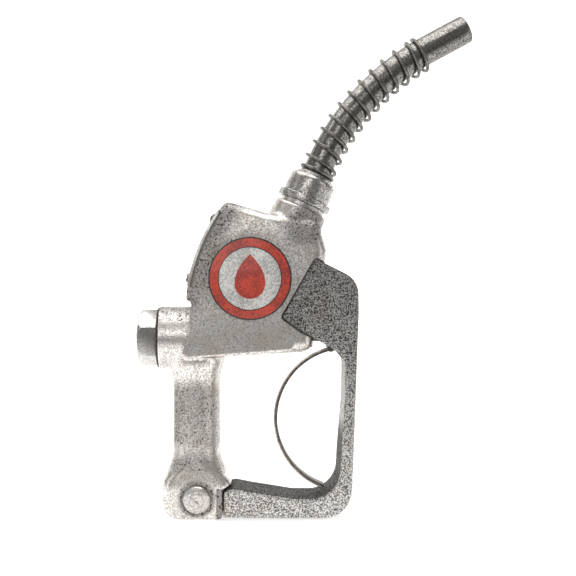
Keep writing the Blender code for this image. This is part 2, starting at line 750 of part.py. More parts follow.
def make_bolt(finish):
    """A large button-headed bolt. Its head sits in the foot's front spot face."""
    face = -FOOT_DEPTH / 2 + 1 * MM - REST_GAP
    radius = BOLT_HEAD_DIAMETER / 2
    end = FOOT_DEPTH / 2 - 1 * MM + GUARD_NUT_HEIGHT + 2 * MM
    shank = BOLT_DIAMETER / 2
    profile = [
        (0, face - BOLT_HEAD_HEIGHT),
        (radius * 0.55, face - BOLT_HEAD_HEIGHT),
        (radius * 0.84, face - BOLT_HEAD_HEIGHT * 0.82),
        (radius, face - BOLT_HEAD_HEIGHT * 0.4),
        (radius, face),
        (shank, face),
        (shank, end - 1 * MM),
        (shank - 1 * MM, end),
        (0, end),
    ]
    return turned("guard_bolt", profile, across_frame(BOLT_X, BOLT_Z), finish)


def hex_nut(name, corners, bore, low, high, frame, finish):
    """A hexagon nut with both faces chamfered."""
    nut = rod(name, corners / 2, low, high, frame, finish, 6)
    chamfer = corners / 2 * 0.13
    limit = [
        (0, low - 1 * MM),
        (corners / 2 - chamfer - 1 * MM, low - 1 * MM),
        (corners / 2 + 1 * MM, low + chamfer + 1 * MM),
        (corners / 2 + 1 * MM, high - chamfer - 1 * MM),
        (corners / 2 - chamfer - 1 * MM, high + 1 * MM),
        (0, high + 1 * MM),
    ]
    boolean(nut, turned("limit", limit, frame, None, COARSE), "INTERSECT")
    hole = rod("hole", bore, low - 2 * MM, high + 2 * MM, frame, None, COARSE)
    cut(nut, hole)
    return nut


def make_foot_fasteners(finish):
    make_bolt(finish)
    low = FOOT_DEPTH / 2 - 1 * MM + REST_GAP
    bore = BOLT_DIAMETER / 2 + RUNNING_GAP
    frame = across_frame(BOLT_X, BOLT_Z, radians(15))
    hex_nut("guard_nut", GUARD_NUT_ACROSS_CORNERS, bore, low, low + GUARD_NUT_HEIGHT, frame, finish)


def slotted_screw(name, frame, grip, finish):
    """A pan-head screw whose head rests on the plane at height zero, with +Z out of the work."""
    shank = SCREW_DIAMETER / 2
    head = SCREW_HEAD_DIAMETER / 2
    profile = [
        (0, -grip),
        (shank - 0.5 * MM, -grip),
        (shank, -grip + 0.6 * MM),
        (shank, REST_GAP),
        (head, REST_GAP),
        (head, SCREW_HEAD_HEIGHT * 0.55),
        (head * 0.72, SCREW_HEAD_HEIGHT),
        (0, SCREW_HEAD_HEIGHT),
    ]
    screw = turned(name, profile, frame, finish, 12)
    slot = box("slot", (-0.5 * MM, -6 * MM, SCREW_HEAD_HEIGHT - 1 * MM), (0.5 * MM, 6 * MM, 6 * MM))
    slot.matrix_world = frame
    cut(screw, slot)
    return screw


def make_cover(finishes):
    half = COVER_WIDTH / 2
    inner = COVER_RADIUS - COVER_THICKNESS
    cover = arched_plate("back_cover", COVER_RADIUS, inner, REST_GAP, half, finishes["polished_casting"])
    gasket_outer = inner - REST_GAP
    gasket_inner = gasket_outer - GASKET_THICKNESS
    fibre = finishes["fibre"]
    gasket = arched_plate("cover_gasket", gasket_outer, gasket_inner, 1 * MM, half - 1 * MM, fibre)
    margin = WINDOW_EDGE / COVER_RADIUS
    opening = back_arc(gasket_outer + 3 * MM, COVER_LOW - margin, COVER_HIGH + margin)
    opening += back_arc(gasket_inner - 3 * MM, COVER_HIGH + margin, COVER_LOW - margin)
    window_half = half - WINDOW_EDGE
    cut(gasket, prism("opening", opening, -window_half, window_half))
    hole = SCREW_DIAMETER / 2 + REST_GAP
    grip = COVER_THICKNESS + GASKET_THICKNESS + 2 * REST_GAP + SCREW_GRIP
    for number, frame in enumerate(cover_screw_frames(), 1):
        cut(cover, rod("hole", hole, -20 * MM, 5 * MM, frame, None, 12))
        cut(gasket, rod("hole", hole, -20 * MM, 5 * MM, frame, None, 12))
        slotted_screw(f"cover_screw_{number}", frame, grip, finishes["dark_steel"])


def make_guard_screws(finish):
    """Two screws through the rear cheek into the housing's nose."""
    for number, (x, z) in enumerate(guard_screw_places(), 1):
        plane = HALF_GUARD - SCREW_HEAD_HEIGHT
        frame = frame_of(Vector((x, plane, z)), ALONG_Y)
        slotted_screw(f"guard_screw_{number}", frame, plane - NOSE_HALF + 7 * MM, finish)


def make_inlet(finishes):
    """The hexagon hose fitting, its gasket and the strainer that it holds."""
    frame = valve_frame(HEX_TURN)
    head_end = BARREL_END_X - GASKET_THICKNESS - 2 * REST_GAP
    outer_end = head_end - HEX_LENGTH
    corners = HEX_ACROSS_CORNERS / 2
    fitting = rod("inlet_fitting", corners, outer_end, head_end, frame, finishes["polished_casting"], 6)
    nose = 4.4 * MM
    limit = [
        (0, outer_end),
        (corners - nose, outer_end),
        (corners - 0.35 * nose, outer_end + 0.4 * nose),
        (corners + 0.3 * MM, outer_end + nose),
        (corners + 0.3 * MM, head_end + 1 * MM),
        (0, head_end + 1 * MM),
    ]
    boolean(fitting, turned("limit", limit, frame), "INTERSECT")
    shank_end = head_end + INLET_SHANK_LENGTH
    join(fitting, rod("shank", SHANK_RADIUS, head_end - 1 * MM, shank_end, frame, None, FINE))
    step = outer_end + HOSE_BORE_DEPTH
    passage = [
        (0, outer_end - 1 * MM),
        (HOSE_BORE / 2 + 1.6 * MM, outer_end - 1 * MM),
        (HOSE_BORE / 2, outer_end + 0.6 * MM),
        (HOSE_BORE / 2, step),
        (INLET_PASSAGE / 2, step),
        (INLET_PASSAGE / 2, shank_end + 1 * MM),
        (0, shank_end + 1 * MM),
    ]
    cut(fitting, turned("passage", passage, frame))
    gasket_low = head_end + REST_GAP
    ring(
        "inlet_gasket",
        SHANK_RADIUS + REST_GAP,
        BARREL_DIAMETER / 2 - 1 * MM,
        gasket_low,
        gasket_low + GASKET_THICKNESS,
        frame,
        finishes["fibre"],
    )
    make_strainer(step, frame, finishes["brass"])
    return shank_end


def make_strainer(step, frame, finish):
    """A perforated thimble that rests on the fitting's inner step and reaches into its passage."""
    lip = HOSE_BORE / 2 - REST_GAP
    body = INLET_PASSAGE / 2 - REST_GAP
    wall = 1.0 * MM
    low = step - REST_GAP - wall
    deep = step + 8 * MM
    profile = [
        (body - wall, low),
        (lip, low),
        (lip, low + wall),
        (body, low + wall),
        (body, deep),
        (0, deep),
        (0, deep - wall),
        (body - wall, deep - wall),
    ]
    shape = profile[5:6] + profile[4::-1] + profile[:5:-1]
    strainer = turned("inlet_strainer", shape, frame, finish)
    hole = 1.7 * MM
    for count, radius in ((1, 0.0), (6, body * 0.56)):
        for i in range(count):
            angle = 2 * pi * i / count
            offset = Matrix.Translation((radius * cos(angle), radius * sin(angle), 0))
            cut(strainer, rod("mesh", hole, deep - 4 * MM, deep + 4 * MM, frame @ offset, None, 8))


def make_main_valve(finishes, spring_low):
    """The stem, poppet and seal that slide, and the seat, spring and packing that stay."""
    frame = valve_frame()
    brass, steel, rubber = finishes["brass"], finishes["spout_steel"], finishes["rubber"]
    seat_low = SHOULDER_X - REST_GAP - SEAT_THICKNESS
    ring("valve_seat", SEAT_BORE / 2, SHANK_RADIUS, seat_low, SHOULDER_X - REST_GAP, frame, brass)
    bore = STEM_RADIUS + REST_GAP
    disc = POPPET_DIAMETER / 2
    face = POPPET_BACK_X + POPPET_THICKNESS
    ring("valve_poppet", bore, disc, POPPET_BACK_X, face, frame, brass)
    washer_low = face + REST_GAP
    washer_high = seat_low - REST_GAP
    ring("poppet_washer", bore, disc - 0.5 * MM, washer_low, washer_high, frame, rubber)
    keeper_low = washer_high + REST_GAP
    keeper_high = keeper_low + 2 * MM
    ring("washer_retainer", bore, SEAT_BORE / 2 - 2 * MM, keeper_low, keeper_high, frame, brass)
    nut_low = keeper_high + REST_GAP
    hex_nut("poppet_nut", 13 * MM, bore, nut_low, nut_low + 4 * MM, frame, steel)
    collar = POPPET_BACK_X - REST_GAP
    dome = STEM_RADIUS
    profile = [
        (0, collar - 3 * MM),
        (STEM_RADIUS + 2.5 * MM, collar - 3 * MM),
        (STEM_RADIUS + 2.5 * MM, collar),
        (STEM_RADIUS, collar),
    ]
    for step in range(7):
        angle = pi / 2 * step / 6
        profile.append((dome * cos(angle), STEM_END_X - dome + dome * sin(angle)))
    profile[-1] = (0, STEM_END_X)
    turned("valve_stem", profile, frame, steel, COARSE)
    coil_radius = SPRING_DIAMETER / 2
    low = spring_low + REST_GAP + SPRING_WIRE / 2
    high = POPPET_BACK_X - REST_GAP - SPRING_WIRE / 2
    wire = helix(coil_radius, low, high, SPRING_TURNS, frame, 14, 0.6)
    coil("valve_spring", wire, SPRING_WIRE, steel)
    packing_low = GLAND_FACE_X - GLAND_DEPTH + REST_GAP
    packing_high = packing_low + PACKING_LENGTH
    gland = GLAND_BORE / 2 - REST_GAP
    ring("stem_packing", bore, gland, packing_low, packing_high, frame, rubber, COARSE)
    nut_low = GLAND_FACE_X + REST_GAP
    nut = hex_nut(
        "packing_nut",
        PACKING_NUT_ACROSS_CORNERS,
        bore,
        nut_low,
        nut_low + PACKING_NUT_HEAD,
        frame,
        brass,
    )
    join(nut, ring("thread", bore, gland, packing_high + REST_GAP, nut_low + 1 * MM, frame, None, COARSE))


def strap_point(radius, angle):
    return (STRAP_CENTRE.x + radius * cos(angle), STRAP_CENTRE.z + radius * sin(angle))


def make_lever(finishes):
    """The lever arm on its pin, and the bent strap riveted under its foot."""
    arm_face = STEM_END_X + REST_GAP
    outer = STRAP_RADIUS + STRAP_THICKNESS / 2
    under = outer + REST_GAP
    heel = [strap_point(under, STRAP_TOP + HEEL_LENGTH / STRAP_RADIUS * i / 5) for i in range(6)]
    toe = heel[0][0]
    pad_top = AXIS_HEIGHT + 7 * MM
    web = 4.2 * MM
    outline = [(arm_face, heel[-1][1] + 0.5 * MM), (arm_face, pad_top)]
    outline += [(PIVOT.x - HUB_DIAMETER * 0.36, PIVOT.z), (PIVOT.x + HUB_DIAMETER * 0.36, PIVOT.z)]
    outline += [(PIVOT.x + 2 * web, pad_top), (toe, heel[0][1] + web)]
    outline += [p for p in heel if p[0] > arm_face]
    half = LEVER_THICKNESS / 2
    arm = prism("lever_arm", outline, -half, half, finishes["dark_steel"])
    pivot = across_frame(PIVOT.x, PIVOT.z)
    join(arm, rod("hub", HUB_DIAMETER / 2, -half - 2 * MM, half + 2 * MM, pivot, None, COARSE))
    cut(arm, rod("pin_hole", PIN_BORE_RADIUS, -20 * MM, 20 * MM, pivot))
    steps = 30
    angles = [STRAP_TOP + (STRAP_TIP - STRAP_TOP) * i / steps for i in range(steps + 1)]
    inner = STRAP_RADIUS - STRAP_THICKNESS / 2
    band = [strap_point(outer, a) for a in angles] + [strap_point(inner, a) for a in reversed(angles)]
    strap_half = STRAP_WIDTH / 2
    strap = prism("trigger_strap", band, -strap_half, strap_half, finishes["trigger_steel"])
    rivets = []
    for number, angle in enumerate(RIVET_ANGLES, 1):
        x, z = strap_point(inner, angle)
        frame = frame_of(Vector((x, 0, z)), Vector((cos(angle), 0, sin(angle))))
        hole = RIVET_DIAMETER / 2 + RUNNING_GAP
        reach = STRAP_THICKNESS + REST_GAP + 2.6 * MM
        cut(strap, rod("hole", hole, -5 * MM, 5 * MM, frame, None, 12))
        cut(arm, rod("hole", hole, 0, reach + REST_GAP, frame, None, 12))
        shank = RIVET_DIAMETER / 2
        profile = [
            (0, -1.5 * MM),
            (shank * 1.2, -1.2 * MM),
            (shank * 1.6, -REST_GAP),
            (shank, -REST_GAP),
            (shank, reach),
            (0, reach),
        ]
        rivets.append(turned(f"strap_rivet_{number}", profile, frame, finishes["dark_steel"], 12))
    hold("lever_pivot", PIVOT, arm, strap, *rivets)
    make_pin(pivot, finishes["dark_steel"])


def make_pin(pivot, finish):
    """A headed pin from the rear cheek, through the lever's hub, into a blind hole in the front cheek."""
    head_low = HALF_GUARD - PIN_HEAD_HEIGHT + 1 * MM + REST_GAP
    start = -CHEEK_INNER - 3 * MM + REST_GAP
    profile = [
        (0, start),
        (PIN_RADIUS - 0.6 * MM, start),
        (PIN_RADIUS, start + 0.6 * MM),
        (PIN_RADIUS, head_low),
        (PIN_HEAD_DIAMETER / 2, head_low),
        (PIN_HEAD_DIAMETER / 2, head_low + PIN_HEAD_HEIGHT - 1 * MM),
        (PIN_HEAD_DIAMETER / 2 - 1 * MM, head_low + PIN_HEAD_HEIGHT),
        (0, head_low + PIN_HEAD_HEIGHT),
    ]
    pin = turned("lever_pin", profile, pivot, finish, COARSE)
    top = head_low + PIN_HEAD_HEIGHT
    slot = box("slot", (-0.7 * MM, -10 * MM, top - 1.2 * MM), (0.7 * MM, 10 * MM, top + 5 * MM))
    slot.matrix_world = pivot
    cut(pin, slot)


def spout_path(start):
    """Frames down the spout's centre line: a straight base, one bend and a straight tip. Each is a point
    and a direction, with the distance along the line from the neck's face."""
    stations = [(start, NECK_FACE + NECK_AXIS * start, NECK_AXIS)]
    base_end = NUT_TOP + SPOUT_STRAIGHT_BASE
    bend_start = NECK_FACE + NECK_AXIS * base_end
    inward = Vector((sin(SPOUT_LEAN), 0, -cos(SPOUT_LEAN)))
    centre = bend_start + inward * SPOUT_BEND_RADIUS
    sweep = SPOUT_LEAN - SPOUT_TIP_LEAN
    steps = 10
    for i in range(steps + 1):
        lean = SPOUT_LEAN - sweep * i / steps
        out = Vector((-sin(lean), 0, cos(lean)))
        along = base_end + SPOUT_BEND_RADIUS * sweep * i / steps
        stations.append((along, centre + out * SPOUT_BEND_RADIUS, Vector((cos(lean), 0, sin(lean)))))
    along, place, direction = stations[-1]
    stations.append((along + SPOUT_STRAIGHT_TIP, place + direction * SPOUT_STRAIGHT_TIP, direction))
    return stations


def spout_at(along):
    """The point and direction of the spout's centre line at a distance from the neck's face."""
    stations = spout_path(SPOUT_INNER_END)
    for (low, p, d), (high, q, e) in zip(stations, stations[1:]):
        if along <= high:
            share = (along - low) / (high - low)
            return p.lerp(q, share), d.lerp(e, share).normalized()
    return stations[-1][1:]


def tube(name, stations, inner, outer, finish, facets=18):
    """A bent tube: circles swept through stations, with its two end faces."""
    shape = bmesh.new()
    circles = {inner: [], outer: []}
    for _, place, direction in stations:
        side = direction.cross(ALONG_Y)
        for radius in (inner, outer):
            loop = []
            for i in range(facets):
                angle = 2 * pi * i / facets
                spoke = ALONG_Y * cos(angle) + side * sin(angle)
                loop.append(shape.verts.new(place + spoke * radius))
            circles[radius].append(loop)
    for radius in (inner, outer):
        for first, second in zip(circles[radius], circles[radius][1:]):
            for i in range(facets):
                j = (i + 1) % facets
                shape.faces.new((first[i], first[j], second[j], second[i]))
    for end in (0, -1):
        for i in range(facets):
            j = (i + 1) % facets
            near, far = circles[inner][end], circles[outer][end]
            shape.faces.new((near[i], near[j], far[j], far[i]))
    return new_object(name, shape, finish)


def make_spout(finishes):
    frame = neck_frame()
    steel = finishes["spout_steel"]
    stations = spout_path(SPOUT_INNER_END)
    tube("spout_tube", stations, SPOUT_RADIUS - SPOUT_WALL, SPOUT_RADIUS, steel)
    hug = SPOUT_RADIUS + REST_GAP
    low = SPIGOT_TOP + REST_GAP
    rubber = finishes["rubber"]
    ring("spout_gasket", hug, FLANGE_RADIUS, low, low + GASKET_THICKNESS, frame, rubber)
    flange_high = FLANGE_LOW + FLANGE_HEIGHT
    ring("spout_flange", hug, FLANGE_RADIUS, FLANGE_LOW, flange_high, frame, steel)
    shelf = flange_high + REST_GAP
    nut_low = LOCK_RING_LOW + LOCK_RING_HEIGHT + REST_GAP
    profile = [
        (NUT_BORE_RADIUS, nut_low),
        (NUT_RADIUS, nut_low),
        (NUT_RADIUS, NUT_STRAIGHT_TOP),
        (NUT_RADIUS - 2.2 * MM, NUT_STRAIGHT_TOP + 2.6 * MM),
        (hug + 2.4 * MM, NUT_TOP - 1 * MM),
        (hug + 1.4 * MM, NUT_TOP),
        (hug, NUT_TOP),
        (hug, shelf),
        (NUT_BORE_RADIUS, shelf),
    ]
    turned("spout_nut", profile, frame, finishes["polished_casting"])
    make_lock_ring(frame, finishes["polished_casting"])
    make_anchor_spring(finishes["dark_steel"])


def make_lock_ring(frame, finish):
    """A clamp ring under the nut, with a step cut in its rim for a pin wrench."""
    high = LOCK_RING_LOW + LOCK_RING_HEIGHT
    bore = SPIGOT_RADIUS + REST_GAP
    lock = ring("lock_ring", bore, LOCK_RING_RADIUS, LOCK_RING_LOW, high, frame, finish)
    step = LOCK_RING_HEIGHT * 0.34
    wide = LOCK_RING_RADIUS + 5 * MM
    shallow = NUT_RADIUS - 0.5 * MM
    notch = box("notch", (0.5 * MM, -wide, high - step), (wide, -2 * MM, high + 5 * MM))
    notch.matrix_world = frame
    boolean(notch, rod("core", shallow, 0, 40 * MM, frame, None, FINE), "DIFFERENCE")
    cut(lock, notch)


def make_anchor_spring(finish):
    """The wire wound round the spout, which hooks it in a tank's filler neck. Its end turns lie closed."""
    start = NUT_TOP + REST_GAP + ANCHOR_WIRE / 2
    per_turn = 10
    count = int(ANCHOR_TURNS * per_turn)
    closed = 0.75
    wire = []
    for i in range(count + 1):
        turn = ANCHOR_TURNS * i / count
        opened = ANCHOR_TURNS - 2 * closed
        share = max(0.0, min(1.0, (turn - closed) / opened))
        ends = (min(turn, closed) + max(0.0, turn - closed - opened)) * (ANCHOR_WIRE + REST_GAP)
        along = start + ends + (ANCHOR_LENGTH - 2 * closed * (ANCHOR_WIRE + REST_GAP)) * share
        place, direction = spout_at(along)
        side = direction.cross(ALONG_Y)
        angle = -pi / 2 - 2 * pi * turn
        wire.append(place + (ALONG_Y * cos(angle) + side * sin(angle)) * ANCHOR_RADIUS)
    coil("anchor_spring", wire, ANCHOR_WIRE, finish)


def make_check_valve(finishes):
    """The small valve in the neck that stops fuel running back or dripping."""
    frame = neck_frame()
    brass, steel = finishes["brass"], finishes["spout_steel"]
    outer = NECK_BORE_RADIUS - REST_GAP
    seat_high = CHECK_SEAT_LOW + CHECK_SEAT_HEIGHT
    ring("check_seat", CHECK_SEAT_BORE / 2, outer, CHECK_SEAT_LOW, seat_high, frame, brass)
    disc_low = seat_high + REST_GAP
    disc_high = disc_low + CHECK_DISC_THICKNESS
    guide_high = CHECK_GUIDE_LOW + CHECK_GUIDE_HEIGHT
    stem = CHECK_STEM_DIAMETER / 2
    profile = [
        (0, disc_low),
        (CHECK_SEAT_BORE / 2 + 1.4 * MM, disc_low),
        (CHECK_SEAT_BORE / 2 + 1.4 * MM, disc_high),
        (stem, disc_high),
        (stem, guide_high - 0.5 * MM),
        (0, guide_high - 0.5 * MM),
    ]
    poppet = turned("check_poppet", profile, frame, brass, COARSE)
    guide = ring(
        "check_guide", stem + RUNNING_GAP, outer, CHECK_GUIDE_LOW, guide_high, frame, brass, COARSE
    )
    port = (outer - stem) * 0.28
    middle = (outer + stem) / 2
    for i in range(4):
        angle = 2 * pi * i / 4
        offset = Matrix.Translation((middle * cos(angle), middle * sin(angle), 0))
        cut(guide, rod("port", port, -20 * MM, 0, frame @ offset, None, 14))
    low = disc_high + REST_GAP + CHECK_WIRE / 2
    high = CHECK_GUIDE_LOW - REST_GAP - CHECK_WIRE / 2
    wire = helix(stem + 1.5 * MM, low, high, CHECK_TURNS, frame, 12, 0.5)
    coil("check_spring", wire, CHECK_WIRE, steel)
    hold("check_axis", NECK_FACE, poppet)


def make_badge(finish):
    """A thin enamelled disc on the housing's front face."""
    frame = across_frame(BADGE_X, AXIS_HEIGHT + BADGE_ABOVE_AXIS)
    face = -HALF_CASTING - REST_GAP
    rod("badge", BADGE_DIAMETER / 2, face - BADGE_THICKNESS, face, frame, finish, 48)


def main():
    clear_scene()
    finishes = palette()
    make_body_casting(finishes["polished_casting"])
    make_cover(finishes)
    spring_low = make_inlet(finishes)
    make_main_valve(finishes, spring_low)
    make_guard(finishes["rough_casting"])
    make_guard_screws(finishes["dark_steel"])
    make_foot_fasteners(finishes["polished_casting"])
    make_lever(finishes)
    make_spout(finishes)
    make_check_valve(finishes)
    make_badge(finishes["enamel"])
    bpy.context.view_layer.update()
    valve = [bpy.data.objects[n] for n in ("valve_stem", "valve_poppet", "poppet_washer")]
    valve += [bpy.data.objects[n] for n in ("washer_retainer", "poppet_nut")]
    hold("valve_axis", VALVE_FRAME, *valve)


main()
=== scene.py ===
# %% [markdown]
# # A pistol-grip fuel nozzle
#
# An old filling-station nozzle: one polished aluminium casting holds the valve and the grip, a rough
# sand-cast guard is bolted to it, and a bent steel spout with a loose anchor spring comes out of the
# top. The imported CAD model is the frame, and every piece below is made round it in the same metres.
#
# The order is the order of a real workshop. Castings are poured as soft, rounded shapes and machined
# afterwards, round parts are turned on a lathe, wire is wound, and the finish comes last.

# %% Load the frame
import json
from math import acos, atan2, ceil, cos, pi, radians, sin, sqrt, tan

import bmesh
import bpy
from mathutils import Matrix, Vector


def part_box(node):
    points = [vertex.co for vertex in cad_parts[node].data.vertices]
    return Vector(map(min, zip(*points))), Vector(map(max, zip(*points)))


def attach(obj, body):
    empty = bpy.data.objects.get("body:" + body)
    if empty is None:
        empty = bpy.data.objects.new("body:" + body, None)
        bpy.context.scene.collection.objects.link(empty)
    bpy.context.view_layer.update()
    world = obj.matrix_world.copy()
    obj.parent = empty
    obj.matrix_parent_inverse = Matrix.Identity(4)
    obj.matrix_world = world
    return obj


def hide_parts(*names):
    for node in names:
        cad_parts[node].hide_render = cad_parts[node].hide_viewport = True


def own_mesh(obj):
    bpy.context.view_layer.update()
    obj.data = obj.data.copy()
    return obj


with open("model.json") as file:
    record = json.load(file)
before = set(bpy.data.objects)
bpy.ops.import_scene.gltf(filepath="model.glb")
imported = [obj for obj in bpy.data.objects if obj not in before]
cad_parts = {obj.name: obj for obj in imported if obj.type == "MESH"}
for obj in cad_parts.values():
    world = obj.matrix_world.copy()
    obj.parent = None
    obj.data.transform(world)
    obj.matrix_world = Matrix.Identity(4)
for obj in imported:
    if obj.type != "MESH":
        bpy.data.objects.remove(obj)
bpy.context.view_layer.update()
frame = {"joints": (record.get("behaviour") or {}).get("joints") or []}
MM = 0.001
joint_at = {joint["name"]: Vector(joint.get("pos_m") or (0, 0, 0)) for joint in frame["joints"]}

# %% [markdown]
# ## Finishes as arithmetic
#
# A worn casting is mostly arithmetic: a pale metal, minus dark pits, plus a polish that varies. The
# node editor can say that, but a script full of links is hard to read. This small class lets a
# pattern be added, multiplied and divided like a number, and each sign makes one Math node. Two
# methods reach the rest: `node` adds any kind of node, and `blend` mixes two colours.


# %% A wire that does arithmetic
class Wire:
    """A value that varies over a surface. Its signs make Math nodes in the finish it belongs to."""

    def __init__(self, finish, socket):
        self.finish, self.socket = finish, socket

    def sign(self, operation, *others):
        return self.finish.node("ShaderNodeMath", [self, *others], operation=operation)

    def __add__(self, other):
        return self.sign("ADD", other)

    def __sub__(self, other):
        return self.sign("SUBTRACT", other)

    def __mul__(self, other):
        return self.sign("MULTIPLY", other)

    def __truediv__(self, other):
        return self.sign("DIVIDE", other)

    def __rsub__(self, other):
        return self.finish.node("ShaderNodeMath", [other, self], operation="SUBTRACT")

    __radd__ = __add__
    __rmul__ = __mul__

    def step(self, low, high):
        """0 below one value and 1 above another, with a smooth rise between them."""
        return self.finish.node(
            "ShaderNodeMapRange", [self, low, high], interpolation_type="SMOOTHSTEP"
        )


class Finish:
    """One material. It starts as a Principled shader with one roughness and one metallic value."""

    def __init__(self, name, roughness, metallic, coat=0.0):
        self.gloss = roughness
        self.material = bpy.data.materials.new(name)
        self.material.use_nodes = True
        self.tree = self.material.node_tree
        self.shader = self.tree.nodes["Principled BSDF"]
        self.shader.inputs["Roughness"].default_value = roughness
        self.shader.inputs["Metallic"].default_value = metallic
        self.shader.inputs["Coat Weight"].default_value = coat
        self.place = self.node("ShaderNodeTexCoord", output="Object")

    def node(self, kind, values=(), output=0, **settings):
        """Adds a node, sets it up, wires or sets its inputs, and hands back one of its outputs."""
        made = self.tree.nodes.new(kind)
        for name, value in settings.items():
            setattr(made, name, value)
        pairs = values.items() if isinstance(values, dict) else enumerate(values)
        for key, value in pairs:
            if isinstance(value, Wire):
                self.tree.links.new(value.socket, made.inputs[key])
            else:
                made.inputs[key].default_value = value
        return Wire(self, made.outputs[output])

    def part(self, axis):
        """One coordinate, in millimetres: 0 is X, 1 is Y and 2 is Z."""
        return self.node("ShaderNodeSeparateXYZ", [self.place], output=axis) * 1000

    def noise(self, size_mm, detail=3.0, roughness=0.5):
        """Cloudy noise whose blotches are about this many millimetres across. It averages a half."""
        inputs = {"Vector": self.place, "Scale": 1000 / size_mm}
        inputs.update({"Detail": detail, "Roughness": roughness})
        return self.node("ShaderNodeTexNoise", inputs)

    def blend(self, amount, first, second):
        """A colour that goes from the first to the second."""
        mix = self.tree.nodes.new("ShaderNodeMix")
        mix.data_type = "RGBA"
        for socket, value in ((mix.inputs[0], amount), (mix.inputs[6], first), (mix.inputs[7], second)):
            if isinstance(value, Wire):
                self.tree.links.new(value.socket, socket)
            elif isinstance(value, tuple):
                socket.default_value = (*value, 1)
            else:
                socket.default_value = value
        return Wire(self, mix.outputs[2])

    def paint(self, colour, roughness=None, height=None, depth_mm=0.1):
        """Wires the finished patterns to the shader, and hands back the material."""
        chosen = {"Base Color": colour, "Roughness": roughness}
        for name, wire in chosen.items():
            if wire is not None:
                self.tree.links.new(wire.socket, self.shader.inputs[name])
        if height is not None:
            bump = {"Height": height, "Distance": depth_mm * MM, "Strength": 1.0}
            normal = self.node("ShaderNodeBump", bump)
            self.tree.links.new(normal.socket, self.shader.inputs["Normal"])
        return self.material


print("helpers: Wire and Finish")

# %% [markdown]
# ## Polished, pitted aluminium
#
# The body was ground and buffed by hand, then carried for decades. Three things show: cloudy patches
# where the metal has dulled, small dark pits where the sand mould left pores, and a fine grain. Each
# is one noise at its own scale. Pits are noise cut off near its top, and a broad second noise
# gathers them in drifts, because real porosity comes in patches.


# %% The castings' finishes
def cast_skin(finish, pale, dull, pit, grain, pit_share=0.3, dirt_and_shade=None, stain_and_shade=0.55, depth_mm=0.1):
    """Cast metal. The grain is (size in mm, contrast, share of the coarse mottle). The dirt-and-shade mask is
    a pattern from 0 to 1, of grime and painted shade, that darkens the metal and gathers more pits."""
    grain_mm, contrast, coarse = grain
    mottle = finish.noise(34, 3, 0.5) * 0.4 + finish.noise(6, 4, 0.6) * 0.6
    speckle = finish.noise(grain_mm, 1.5, 0.6)
    tone = (mottle * coarse + speckle * (1 - coarse)).step(0.5 - contrast, 0.5 + contrast)
    cutoff = 0.81 - finish.noise(12, 3, 0.6) * 0.2 - 0.12 * pit_share
    if dirt_and_shade is not None:
        cutoff = cutoff - dirt_and_shade * 0.11
    pits = (finish.noise(1.7, 2, 0.5) - cutoff).step(0.0, 0.06)
    warm = finish.noise(19, 4, 0.6).step(0.48, 0.72)
    browned = finish.blend(warm * 0.7, pale, tuple(c * t for c, t in zip(pale, (0.84, 0.74, 0.65))))
    metal = finish.blend(tone, dull, browned)
    # The mask darkens the metal towards the pit colour: real grime, and painted shade where a caller puts it.
    if dirt_and_shade is not None:
        metal = finish.blend(dirt_and_shade * stain_and_shade, metal, pit)
    colour = finish.blend(pits, metal, pit)
    roughness = finish.gloss + (1 - tone) * 0.12 + pits * 0.25
    if dirt_and_shade is not None:
        roughness = roughness + dirt_and_shade * 0.22
    height = mottle * 0.4 + speckle - pits * 1.2
    return finish.paint(colour, roughness, height, depth_mm)


polished = cast_skin(
    Finish("polished_cast_aluminium", 0.26, 1.0),
    (0.80, 0.78, 0.75), (0.38, 0.365, 0.35), (0.13, 0.12, 0.11), (1.5, 0.2, 0.4), 0.35,
)
machined = cast_skin(
    Finish("machined_hexagon", 0.15, 1.0),
    (0.70, 0.685, 0.66), (0.36, 0.35, 0.335), (0.12, 0.11, 0.10), (1.5, 0.2, 0.45), 0.3, None, 0, 0.04,
)
nut_skin = cast_skin(
    Finish("scuffed_nut", 0.24, 1.0),
    (0.72, 0.70, 0.67), (0.19, 0.18, 0.17), (0.06, 0.055, 0.05), (1.4, 0.15, 0.35), 0.6,
)


def guard_skin():
    finish = Finish("rough_sand_cast_aluminium", 0.4, 1.0)
    x, z = finish.part(0), finish.part(2)
    # Painted shade: faces that lie between the cheeks' outer sides are darkened. These are the guard's edges,
    # its trough and the lever's chamber.
    between_sides = 1 - finish.part(1).sign("ABSOLUTE").step(19.2, 20.8)
    painted_shade_faces = between_sides * (1 - x.step(120, 122.5)) * z.step(13, 16)
    # The guard also darkens towards the top, from its base to its cheeks.
    dirt_and_shade = (painted_shade_faces * 1.25).sign("MAXIMUM", z.step(10, 215) * 0.75)
    return cast_skin(
        finish, (0.80, 0.785, 0.76), (0.11, 0.105, 0.10), (0.05, 0.048, 0.046), (1.15, 0.14, 0.08), 0.3,
        dirt_and_shade, 0.6, 0.14,
    )


dark_cast = guard_skin()
print("cast finishes:", polished.name, machined.name, nut_skin.name, dark_cast.name)

# %% [markdown]
# ## Steel, brass, rubber and fibre
#
# The spout was nickel plated, and the plating has worn to smoky streaks that still reflect sharply.
# The wire and screws are darker and duller. Brass, rubber and fibre are inside, where only a stripped
# nozzle would show them, and so is the oiled paper. Each still gets its own grain.


# %% The other finishes
def worn_steel(name, bright, dark, size_mm, gloss, contrast=0.16):
    finish = Finish(name, gloss, 1.0)
    smoke = finish.noise(size_mm, 5, 0.65)
    spots = finish.noise(1.1, 3, 0.5)
    tone = (smoke * 0.7 + spots * 0.3).step(0.5 - contrast, 0.5 + contrast)
    roughness = gloss + (1 - tone) * 0.16
    return finish.paint(finish.blend(tone, dark, bright), roughness, smoke + spots * 0.6, 0.05)


